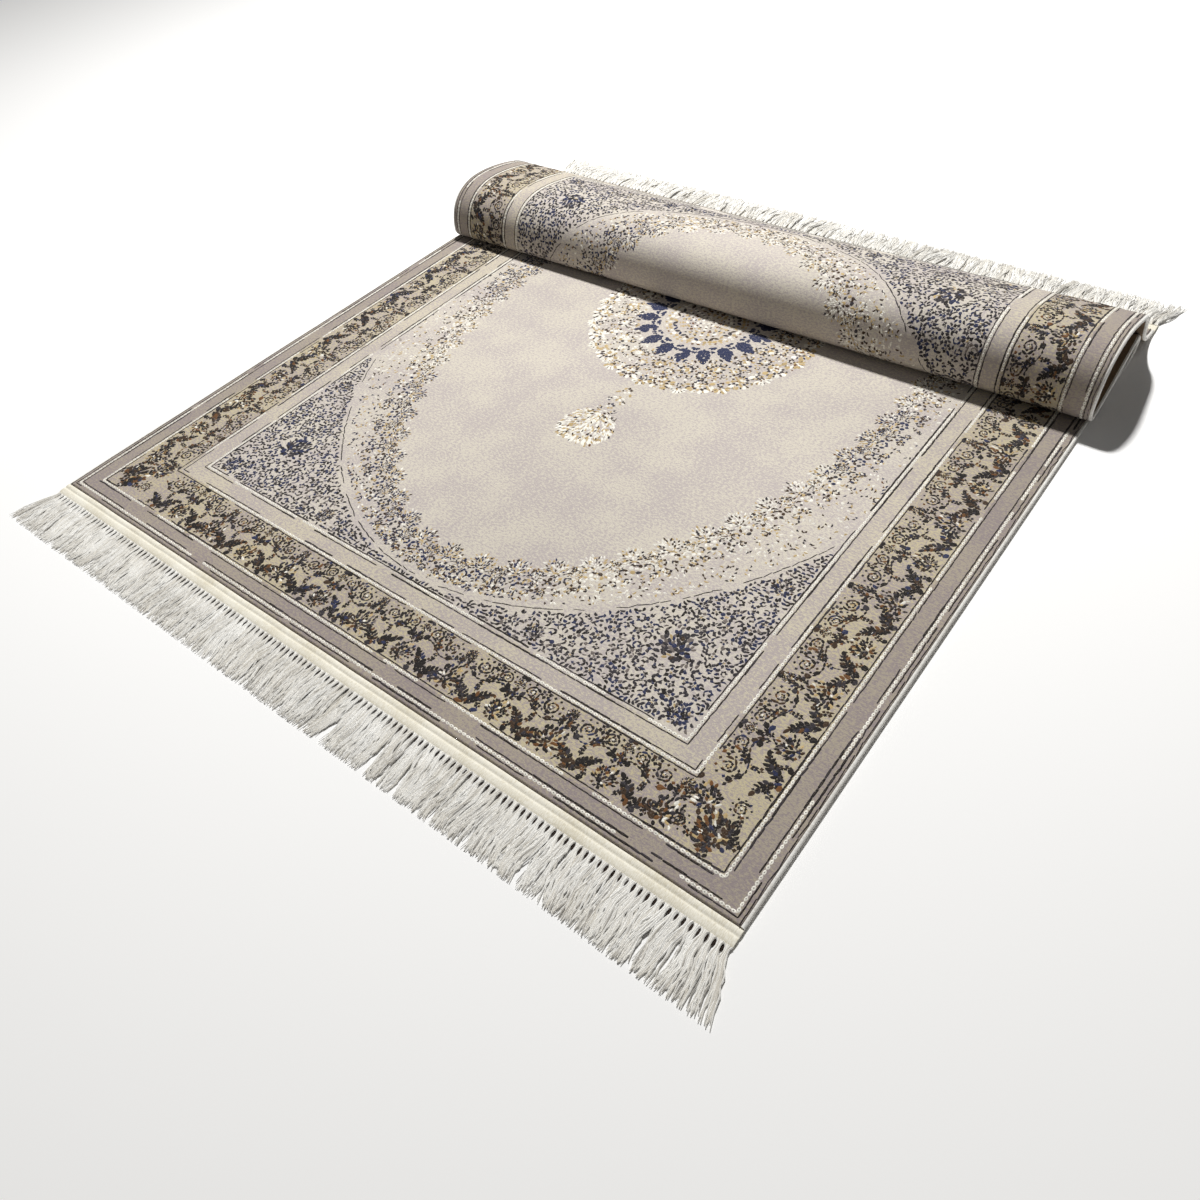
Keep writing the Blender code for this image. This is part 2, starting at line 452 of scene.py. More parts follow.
@dataclass(frozen=True)
class TuftFinish:
    """Dyed pile of the figures. Here and there the ground colour shows through, as where worn."""

    name: str
    ground: tuple[int, int, int] = (184, 175, 160)
    worn: float = 0.55
    dotted: bool = False

    def material(self) -> bpy.types.Material:
        """Wire up the finish.

        Returns:
            The material.
        """
        net = Net(self.name)
        lay = net.attribute("lay")
        dye = net.attribute("dye", "Color")
        flecks = net.noise(net.scaled(lay, (330.0, 380.0, 1.0)), 1.0, 2.0, 0.6)
        patches = net.noise(lay, 6.0, 2.0)
        bare = (flecks + patches * 0.25).step(0.71, 0.79) * self.worn
        colour = net.blend(bare, dye, linear(self.ground))
        if self.dotted:
            dark_dot_and_painted_shade = net.attribute("dark_dot_and_painted_shade", "Fac").step(0.55, 0.72)
            colour = net.blend(dark_dot_and_painted_shade * 0.85, colour, linear((70, 62, 56)))
        tufts = net.noise(net.scaled(lay, (620.0, 700.0, 1.0)), 1.0, 1.0)
        # Painted light and shade of the tufts.
        colour = net.shaded(colour, 0.72 + tufts * 0.56)
        net.bump(tufts + flecks, 0.0012, 0.5)
        return net.finish(colour, 0.82 - flecks * 0.1, 0.15)


@dataclass(frozen=True)
class YarnFinish:
    """Cotton or overcast yarn: two close shades, in fine streaks, with soft dirt in patches."""

    name: str
    light: tuple[int, int, int]
    dark: tuple[int, int, int]
    streaks: tuple[float, float, float] = (900.0, 60.0, 400.0)
    dyed: bool = False
    rough: float = 0.7

    def material(self) -> bpy.types.Material:
        """Wire up the finish.

        Returns:
            The material.
        """
        net = Net(self.name)
        made = net.node("ShaderNodeTexCoord", {}, {})
        place = Wire(net, made.outputs["Object"])
        streaks = net.noise(net.scaled(place, self.streaks), 1.0, 2.0, 0.6)
        patches = net.noise(place, 14.0, 2.0)
        share = (streaks * 0.7 + patches * 0.5).step(0.48, 0.78)
        colour = net.blend(share, linear(self.light), linear(self.dark))
        if self.dyed:
            colour = net.blend(0.55, colour, net.attribute("dye", "Color"))
            # Where this mark is 1, on the fringe's lozenges between the knots, the colour turns
            # dark brown: painted shade.
            painted_shade = net.attribute("dark_dot_and_painted_shade", "Fac")
            colour = net.blend(painted_shade, colour, linear((48, 36, 28)))
        net.bump(streaks, 0.0006, 0.5)
        return net.finish(colour, self.rough + streaks * 0.2, 0.2)


@dataclass(frozen=True)
class FloorFinish:
    """A plain pale floor."""

    shade: tuple[int, int, int] = (251, 250, 248)

    def material(self) -> bpy.types.Material:
        """Wire up the finish.

        Returns:
            The material.
        """
        net = Net("pale_floor")
        made = net.node("ShaderNodeTexCoord", {}, {})
        cloud = net.noise(Wire(net, made.outputs["Object"]), 0.7, 1.0)
        return net.finish(net.shaded(linear(self.shade)[:3], 0.985 + cloud * 0.03), 0.9, 0.0)


# ---------------------------------------------------------------- meshes
def outward(points: Array, faces: Array) -> Array:
    """Faces turned so that the closed shape holds a positive volume.

    The volume is a sixth of the sum, over the faces' triangles, of the first corner dotted with
    the cross product of the other two.

    Args:
        points: the corners.
        faces: rows of corner numbers.

    Returns:
        The faces, all turned over if the volume was negative.
    """
    a = points[faces[:, 0]]
    total = 0.0
    for k in range(1, faces.shape[1] - 1):
        across = np.cross(points[faces[:, k]], points[faces[:, k + 1]])
        total += float(np.einsum("ij,ij->", a, across))
    return faces[:, ::-1] if total < 0 else faces


def add_piece(
    name: str,
    points: Array,
    faces: Array,
    material: bpy.types.Material,
    attributes: dict[str, Array] | None = None,
    sharp_above: float | None = None,
) -> bpy.types.Object:
    """Make a piece that rides on the carpet.

    Args:
        name: the piece's name.
        points: its corners, as rows of x, y, z in the frame.
        faces: rows of corner numbers.
        material: its finish.
        attributes: numbers for each corner, by name: one, or three, or a colour of four.
        sharp_above: smooth faces meet sharply above this angle in degrees; None is all flat.

    Returns:
        The object, at the origin.
    """
    mesh = bpy.data.meshes.new(name)
    size = faces.shape[1]
    mesh.vertices.add(len(points))
    mesh.vertices.foreach_set("co", points.astype(np.float32).ravel())
    mesh.loops.add(faces.size)
    mesh.loops.foreach_set("vertex_index", faces.astype(np.int32).ravel())
    mesh.polygons.add(len(faces))
    mesh.polygons.foreach_set("loop_start", np.arange(0, faces.size, size, dtype=np.int32))
    mesh.polygons.foreach_set("use_smooth", np.full(len(faces), sharp_above is not None))
    mesh.update(calc_edges=True)
    kinds = {1: ("FLOAT", "value"), 3: ("FLOAT_VECTOR", "vector"), 4: ("FLOAT_COLOR", "color")}
    for key, values in (attributes or {}).items():
        kind, part = kinds[1 if values.ndim == 1 else values.shape[1]]
        made = mesh.attributes.new(key, kind, "POINT")
        made.data.foreach_set(part, values.astype(np.float32).ravel())
    if sharp_above is not None:
        mesh.set_sharp_from_angle(angle=math.radians(sharp_above))
    mesh.materials.append(material)
    piece = bpy.data.objects.new(name, mesh)
    bpy.context.scene.collection.objects.link(piece)
    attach(piece, "root")
    LOG.info("%s: %d points, %d triangles", name, len(points), len(faces) * (size - 2))
    return piece


def tube_faces(rings: int, size: int) -> Array:
    """Quads round a tube of closed rings, with each end closed by quads across its ring.

    Args:
        rings: how many rings.
        size: corners in a ring, an even number; corner k lies over corner size - 1 - k.

    Returns:
        The faces.
    """
    ring, corner = np.meshgrid(np.arange(rings - 1), np.arange(size), indexing="ij")
    this, following = ring * size, (ring + 1) * size
    beside = (corner + 1) % size
    sides = np.stack(
        [this + corner, this + beside, following + beside, following + corner], axis=-1
    ).reshape(-1, 4)
    k = np.arange(size // 2 - 1)
    cap = np.stack([k, size - 1 - k, size - 2 - k, k + 1], axis=-1)
    return np.concatenate([sides, cap, (rings - 1) * size + cap[:, ::-1]])


def stamped(points: Array, faces: Array) -> tuple[Array, Array]:
    """Many copies of one small shape joined as one mesh.

    Args:
        points: copies by corners by 3.
        faces: the faces of one copy.

    Returns:
        All corners and all faces.
    """
    copies, size = points.shape[:2]
    moved = faces[None] + (np.arange(copies) * size)[:, None, None]
    return points.reshape(-1, 3), moved.reshape(-1, faces.shape[1])


# ---------------------------------------------------------------- the dyes and the strokes
class Dye(Enum):
    """The yarns of the figures, as the eye reads them."""

    BLACK = (30, 25, 23)
    CHARCOAL = (52, 48, 52)
    NAVY = (42, 48, 78)
    BROWN = (64, 47, 32)
    RUST = (108, 72, 38)
    GOLD = (188, 164, 118)
    IVORY = (240, 236, 224)
    TAUPE = (112, 103, 98)


class Role(Enum):
    """What a stroke does in its figure, before its yarn is picked."""

    DARK = 0
    ACCENT = 1
    LIGHT = 2
    LEAF_BLUE = 3
    LINE = 4
    CHAIN = 5


# Each stroke is one row of nine numbers, in this order.
X, Y, HEADING, LENGTH, WIDTH, BEND, TAPER, BLUNT, ROLE = range(9)


def strokes(
    x: Array | float,
    y: Array | float,
    heading: Array | float,
    length: Array | float,
    width: Array | float,
    role: Role = Role.DARK,
    bend: Array | float = 0.0,
    taper: Array | float = 0.0,
    blunt: float = 0.25,
) -> Array:
    """Rows for strokes, from numbers or arrays that are spread to one length.

    Args:
        x: middle of the stroke across.
        y: middle of the stroke along.
        heading: its direction at the middle, in radians.
        length: from tip to tip.
        width: at its widest.
        role: what it does in the figure.
        bend: how far its direction turns from end to end.
        taper: positive if it is fuller near its start.
        blunt: the share of the length over which a tip narrows.

    Returns:
        One row for each stroke.
    """
    parts = np.broadcast_arrays(x, y, heading, length, width, bend, taper, blunt, role.value)
    return np.stack([np.atleast_1d(p).astype(float).ravel() for p in parts], axis=1)


def chain(points: Array, width: Array | float, role: Role = Role.DARK, lap: float = 1.18) -> Array:
    """Strokes from each point to the next, each bent as the path bends there.

    Args:
        points: rows of x and y.
        width: of each stroke.
        role: what they do.
        lap: how much longer than its span each stroke is.

    Returns:
        One row for each span.
    """
    spans = np.diff(points, axis=0)
    heading = np.unwrap(np.arctan2(spans[:, 1], spans[:, 0]))
    bend = np.gradient(heading) if len(heading) > 1 else 0.0
    middle = (points[1:] + points[:-1]) / 2
    return strokes(
        middle[:, 0], middle[:, 1], heading, np.hypot(*spans.T) * lap, width, role, bend
    )


def ring(
    radius: float, count: int, width: float, role: Role = Role.DARK, fill: float = 0.8
) -> Array:
    """Short strokes laid round a circle, with fill as the share of it that they cover."""
    turn = (np.arange(count) + 0.5) / count * math.tau
    return strokes(
        radius * np.cos(turn),
        radius * np.sin(turn),
        turn + math.pi / 2,
        fill * radius * math.tau / count,
        width,
        role,
        fill * math.tau / count,
    )


def rays(
    inner: float,
    outer: float,
    count: int,
    width: float,
    role: Role = Role.DARK,
    span: float = 360.0,
    middle: float = 90.0,
    at: tuple[float, float] = (0.0, 0.0),
    taper: float = -0.35,
) -> Array:
    """Strokes that point away from a centre.

    Args:
        inner: how far from the centre they start.
        outer: how far from it they end.
        count: how many.
        width: at the widest.
        role: what they do.
        span: the angle in degrees that they fill.
        middle: the direction of the span's middle, in degrees.
        at: the centre.
        taper: negative if they are fuller near their outer ends.

    Returns:
        One row for each stroke.
    """
    turn = np.radians(middle + span * ((np.arange(count) + 0.5) / count - 0.5))
    reach = (inner + outer) / 2
    return strokes(
        at[0] + reach * np.cos(turn),
        at[1] + reach * np.sin(turn),
        turn,
        outer - inner,
        width,
        role,
        0.0,
        taper,
    )


def moved(
    rows: Array,
    x: Array | float,
    y: Array | float,
    turn: Array | float = 0.0,
    size: Array | float = 1.0,
    flip: Array | bool = False,
) -> Array:
    """Copies of a figure: flipped left for right, then sized, turned and moved.

    Args:
        rows: the figure's strokes.
        x: where each copy's origin goes across.
        y: where it goes along.
        turn: each copy's turn in radians.
        size: each copy's size.
        flip: whether each copy is flipped.

    Returns:
        The strokes of all copies.
    """
    spread = np.broadcast_arrays(x, y, turn, size, flip)
    x, y, turn, size, flip = (np.atleast_1d(v)[:, None] for v in spread)
    side = np.where(flip, -1.0, 1.0)
    made = np.repeat(rows[None], len(x), axis=0)
    across, up = rows[None, :, X] * side * size, rows[None, :, Y] * size
    made[..., X] = x + across * np.cos(turn) - up * np.sin(turn)
    made[..., Y] = y + across * np.sin(turn) + up * np.cos(turn)
    heading = rows[None, :, HEADING]
    made[..., HEADING] = np.where(flip, math.pi - heading, heading) + turn
    made[..., BEND] = rows[None, :, BEND] * side
    made[..., LENGTH] *= size
    made[..., WIDTH] *= size
    return made.reshape(-1, rows.shape[1])


def mirrored(rows: Array) -> Array:
    """A figure and its left-for-right twin."""
    return np.concatenate([rows, moved(rows, 0.0, 0.0, flip=True)])


def brick_grid(
    rows: int,
    columns: int,
    pitch: float,
    rise: float,
    stray: float,
    drawn: np.random.Generator,
) -> tuple[Array, Array]:
    """Places laid like bricks, every other row moved on by half a step, each straying a little.

    Args:
        rows: how many rows.
        columns: how many places in a row.
        pitch: how far apart they are in a row.
        rise: from row to row, as a share of the pitch.
        stray: how far they stray, on average.
        drawn: where the draws come from.

    Returns:
        Their x and their y.
    """
    row, column = np.meshgrid(np.arange(rows), np.arange(columns), indexing="ij")
    x = (column + 0.5 * (row % 2)) * pitch + drawn.normal(0.0, stray, row.shape)
    y = row * pitch * rise + drawn.normal(0.0, stray, row.shape)
    return x.ravel(), y.ravel()


@dataclass(frozen=True)
class Figures:
    """The small figures that the design repeats, each about the origin and growing along +Y."""

    head_strokes: int = 60
    golden_turn: float = 2.39996

    def spiral(self, radius: float, turns: float, count: int, width: float, role: Role) -> Array:
        """A coil that winds evenly inwards from its rim at the right.

        Args:
            radius: of its rim.
            turns: how many times it goes round.
            count: how many strokes it is made of.
            width: of its strokes, on average.
            role: what they do.

        Returns:
            Its strokes, which thin towards the inside.
        """
        share = np.linspace(0.0, 1.0, count + 1)
        reach = radius * (1.0 - 0.85 * share)
        turn = share * turns * math.tau
        points = np.stack([reach * np.cos(turn), reach * np.sin(turn)], axis=1)
        return chain(points, width * (1.25 - 0.5 * share[1:]), role)

    def snail(self, radius: float) -> Array:
        """A rosette: a coil, a ring of dots and a bright heart."""
        return np.concatenate(
            [
                self.spiral(radius * 0.86, 1.9, 13, radius * 0.15, Role.DARK),
                rays(radius * 0.84, radius * 1.16, 9, radius * 0.17, Role.DARK),
                ring(radius * 0.50, 5, radius * 0.11, Role.ACCENT, 0.5),
                rays(0.0, radius * 0.18, 3, radius * 0.14, Role.LIGHT),
            ]
        )

    def curl(self, radius: float) -> Array:
        """A C-scroll that thickens towards its inner end.

        Args:
            radius: of its rim.

        Returns:
            Its strokes.
        """
        share = np.linspace(0.0, 1.0, 6)
        reach = radius * (1.0 - 0.55 * share)
        turn = math.radians(-70) + share * math.radians(330)
        points = np.stack([reach * np.cos(turn), reach * np.sin(turn)], axis=1)
        widths = radius * np.array([0.20, 0.30, 0.36, 0.36, 0.40])
        return chain(points, widths)

    def flower(self, radius: float, petals: int = 6, heart: Role = Role.LIGHT) -> Array:
        """An open flower: a ring of petals round a pale heart."""
        return np.concatenate(
            [
                ring(radius * 0.76, petals, radius * 0.46, Role.DARK, 0.98),
                rays(0.0, radius * 0.30, 2, radius * 0.30, heart),
            ]
        )

    def leaf(self, length: float, width: float) -> Array:
        """A single leaf with its point upwards."""
        return strokes(0.0, length / 2, math.pi / 2, length, width, Role.DARK, 0.35, 0.3)

    def sprig(self, length: float, pairs: int = 3) -> Array:
        """A bent stem with pairs of small leaves and a bud at its tip.

        Args:
            length: of the stem.
            pairs: how many pairs of leaves.

        Returns:
            Its strokes.
        """
        share = np.linspace(0.0, 1.0, 4)
        points = np.stack([0.16 * length * np.sin(share * 2.2), length * share], axis=1)
        at = (np.arange(pairs) + 0.6) / (pairs + 0.3)
        reach = length * (0.34 - 0.10 * at)
        rows = [chain(points, length * 0.075)]
        for side in (-1.0, 1.0):
            lean = math.pi / 2 - side * 0.85
            rows.append(
                strokes(
                    0.16 * length * np.sin(at * 2.2) + np.cos(lean) * reach * 0.55,
                    length * at + np.sin(lean) * reach * 0.55,
                    lean,
                    reach,
                    length * 0.15,
                    Role.DARK,
                    side * 0.5,
                    0.2,
                )
            )
        tip = (0.12 * length, length)
        bud = rays(length * 0.02, length * 0.2, 3, length * 0.1, Role.ACCENT, 130.0, 70.0, tip)
        return np.concatenate([*rows, bud])

    def acanthus(self, length: float, sweep: float, lobe: float, pairs: int = 5) -> Array:
        """A heavy curved leaf: a midrib on an arc, with full lobes down both sides.

        Args:
            length: of the midrib.
            sweep: how far the midrib turns, in degrees, positive to the left.
            lobe: length of the fullest lobe.
            pairs: lobes on each side.

        Returns:
            Its strokes.
        """
        turn = math.radians(sweep)
        share = np.linspace(0.0, 1.0, 5)
        fine = np.linspace(0.0, 1.0, 41)
        slope = math.pi / 2 + turn * fine
        path = np.stack([np.cumsum(np.cos(slope)), np.cumsum(np.sin(slope))], axis=1) * length / 41
        path -= path[0]

        def on_path(at: Array) -> Array:
            """Points of the midrib."""
            return np.stack([np.interp(at, fine, path[:, k]) for k in (0, 1)], axis=1)

        rows = [chain(on_path(share), length * np.array([0.10, 0.13, 0.12, 0.08]), lap=1.35)]
        at = (np.arange(pairs) + 0.55) / pairs
        reach = lobe * np.sin(math.pi * (0.22 + 0.62 * at))
        base = on_path(at)
        for side in (-1.0, 1.0):
            lean = math.pi / 2 + turn * at + side * 0.95
            rows.append(
                strokes(
                    base[:, 0] + np.cos(lean) * reach * 0.5,
                    base[:, 1] + np.sin(lean) * reach * 0.5,
                    lean,
                    reach,
                    reach * 0.34,
                    Role.DARK,
                    -side * 0.9,
                    0.15,
                )
            )
        x, y = on_path(np.array([1.0]))[0]
        facing = slope[-1]
        x, y = x + 0.4 * lobe * math.cos(facing), y + 0.4 * lobe * math.sin(facing)
        tip = strokes(x, y, facing, lobe, lobe * 0.36, Role.DARK, turn * 0.4, 0.2)
        return np.concatenate([*rows, tip])

    def cluster(self, radius: float, seed: int = 1, narrow: float = 0.9) -> Array:
        """A dense flower head: short strokes that point away from its foot, with bright specks.

        The strokes stand on a sunflower's spiral, where each turns by the golden angle and the
        reach grows with the square root of its number.

        Args:
            radius: of the head.
            seed: for the small differences.
            narrow: its breadth as a share of its height.

        Returns:
            Its strokes.
        """
        drawn = np.random.default_rng(seed)
        count = self.head_strokes
        number = np.arange(count)
        reach = radius * np.sqrt((number + 0.6) / count) * (1.0 + 0.10 * drawn.normal(size=count))
        turn = number * self.golden_turn
        x, y = narrow * reach * np.cos(turn), reach * np.sin(turn)
        outwards = np.arctan2(y + radius * 0.55, x) + 0.35 * drawn.normal(size=count)
        size = radius * (0.32 + 0.12 * drawn.random(count))
        bend = 0.5 * drawn.normal(size=count)
        rows = strokes(x, y, outwards, size, size * 0.34, Role.DARK, bend, 0.1)
        rows[3::7, ROLE] = Role.LIGHT.value
        rows[5::9, ROLE] = Role.ACCENT.value
        rows[3::7, WIDTH] *= 0.7
        return rows

    def bush(self, radius: float, seed: int) -> Array:
        """A spreading head like a cluster's, in pale yarn, with dark dashes left between.

        Args:
            radius: of the head.
            seed: for the small differences.

        Returns:
            Its strokes.
        """
        rows = self.cluster(radius, seed, 1.1)
        rows[:, ROLE] = np.where(np.arange(len(rows)) % 5 < 2, Role.LIGHT.value, Role.DARK.value)
        rows[4::11, ROLE] = Role.ACCENT.value
        return rows

    def fan(self, radius: float, petals: int = 7) -> Array:
        """A half-open flower: bright petals with dark dashes between them, on a short foot."""
        return np.concatenate(
            [
                rays(radius * 0.30, radius, petals, radius * 0.24, Role.LIGHT, 190.0),
                rays(radius * 0.50, radius * 0.82, petals - 1, radius * 0.11, Role.DARK, 162.0),
                rays(radius * 0.05, radius * 0.38, 4, radius * 0.16, Role.ACCENT, 150.0),
                strokes(0.0, -radius * 0.12, 0.0, radius * 0.7, radius * 0.16, Role.DARK, 0.9),
            ]
        )


@dataclass(frozen=True)
class Mood:
    """The yarns that a patch of the design favours for each role, as pairs of dye and weight."""

    dark: tuple[tuple[Dye, float], ...]
    accent: tuple[tuple[Dye, float], ...]
    light: tuple[tuple[Dye, float], ...]

    def pick(self, role: Array, drawn: Array) -> Array:
        """Colours for strokes.

        Args:
            role: each stroke's role number.
            drawn: a seeded number from 0 to 1 for each.

        Returns:
            One row of four for each stroke.
        """
        made = np.ones((len(role), 4))
        choices = {
            Role.DARK: self.dark,
            Role.ACCENT: self.accent,
            Role.LIGHT: self.light,
            Role.LEAF_BLUE: ((Dye.NAVY, 1.0),),
            Role.LINE: ((Dye.BLACK, 0.7), (Dye.CHARCOAL, 0.3)),
            Role.CHAIN: ((Dye.IVORY, 1.0),),
        }
        for kind, pairs in choices.items():
            here = role == kind.value
            edges = np.cumsum([weight for _, weight in pairs])
            index = np.searchsorted(edges / edges[-1], drawn[here], side="right")
            shades = np.array([linear(dye.value) for dye, _ in pairs])
            made[here] = shades[np.minimum(index, len(pairs) - 1)]
        return made


SOBER = Mood(
    dark=((Dye.BLACK, 0.58), (Dye.CHARCOAL, 0.24), (Dye.NAVY, 0.08), (Dye.BROWN, 0.10)),
    accent=((Dye.BROWN, 0.5), (Dye.GOLD, 0.25), (Dye.TAUPE, 0.25)),
    light=((Dye.GOLD, 0.5), (Dye.TAUPE, 0.3), (Dye.IVORY, 0.2)),
)
WARM = Mood(
    dark=((Dye.BLACK, 0.52), (Dye.BROWN, 0.26), (Dye.RUST, 0.10), (Dye.CHARCOAL, 0.12)),
    accent=((Dye.RUST, 0.45), (Dye.GOLD, 0.45), (Dye.IVORY, 0.10)),
    light=((Dye.GOLD, 0.55), (Dye.IVORY, 0.45)),
)
BLUE = Mood(
    dark=((Dye.NAVY, 0.42), (Dye.CHARCOAL, 0.42), (Dye.BLACK, 0.16)),
    accent=((Dye.CHARCOAL, 0.4), (Dye.TAUPE, 0.4), (Dye.NAVY, 0.2)),
    light=((Dye.TAUPE, 0.5), (Dye.GOLD, 0.2), (Dye.CHARCOAL, 0.3)),
)
SLATE = Mood(
    dark=((Dye.CHARCOAL, 0.55), (Dye.NAVY, 0.20), (Dye.TAUPE, 0.10), (Dye.BLACK, 0.15)),
    accent=((Dye.TAUPE, 0.6), (Dye.BROWN, 0.4)),
    light=((Dye.TAUPE, 0.6), (Dye.GOLD, 0.4)),
)
PALE = Mood(
    dark=((Dye.IVORY, 0.26), (Dye.GOLD, 0.20), (Dye.BROWN, 0.30), (Dye.CHARCOAL, 0.24)),
    accent=((Dye.GOLD, 0.6), (Dye.IVORY, 0.4)),
    light=((Dye.IVORY, 0.9), (Dye.GOLD, 0.1)),
)
GILT = Mood(
    dark=((Dye.CHARCOAL, 0.36), (Dye.BROWN, 0.34), (Dye.GOLD, 0.22), (Dye.NAVY, 0.08)),
    accent=((Dye.GOLD, 0.5), (Dye.RUST, 0.3), (Dye.IVORY, 0.2)),
    light=((Dye.GOLD, 0.45), (Dye.IVORY, 0.55)),
)
GILT_BLUE = Mood(
    dark=((Dye.NAVY, 0.36), (Dye.CHARCOAL, 0.32), (Dye.BROWN, 0.20), (Dye.GOLD, 0.12)),
    accent=((Dye.GOLD, 0.45), (Dye.RUST, 0.30), (Dye.IVORY, 0.25)),
    light=((Dye.NAVY, 0.30), (Dye.CHARCOAL, 0.20), (Dye.GOLD, 0.30), (Dye.IVORY, 0.20)),
)


# ---------------------------------------------------------------- the design on the flat cloth
# A stroke is a lens of eleven corners: a tip, three stations of left edge, ridge and right edge,
# and the other tip. A short stroke keeps only its tips and its middle station.
FULL_CORNERS = np.arange(11)
SHORT_CORNERS = np.array([0, 4, 5, 6, 10])
FULL_FACES = np.array([
    (0, 1, 2), (0, 2, 3), (0, 1, 3), (10, 7, 8), (10, 8, 9), (10, 7, 9),
    (1, 2, 5), (1, 5, 4), (2, 3, 6), (2, 6, 5), (1, 4, 6), (1, 6, 3),
    (4, 5, 8), (4, 8, 7), (5, 6, 9), (5, 9, 8), (4, 7, 9), (4, 9, 6),
])
SHORT_FACES = np.array([(0, 1, 2), (0, 2, 3), (0, 1, 3), (4, 1, 2), (4, 2, 3), (4, 1, 3)])


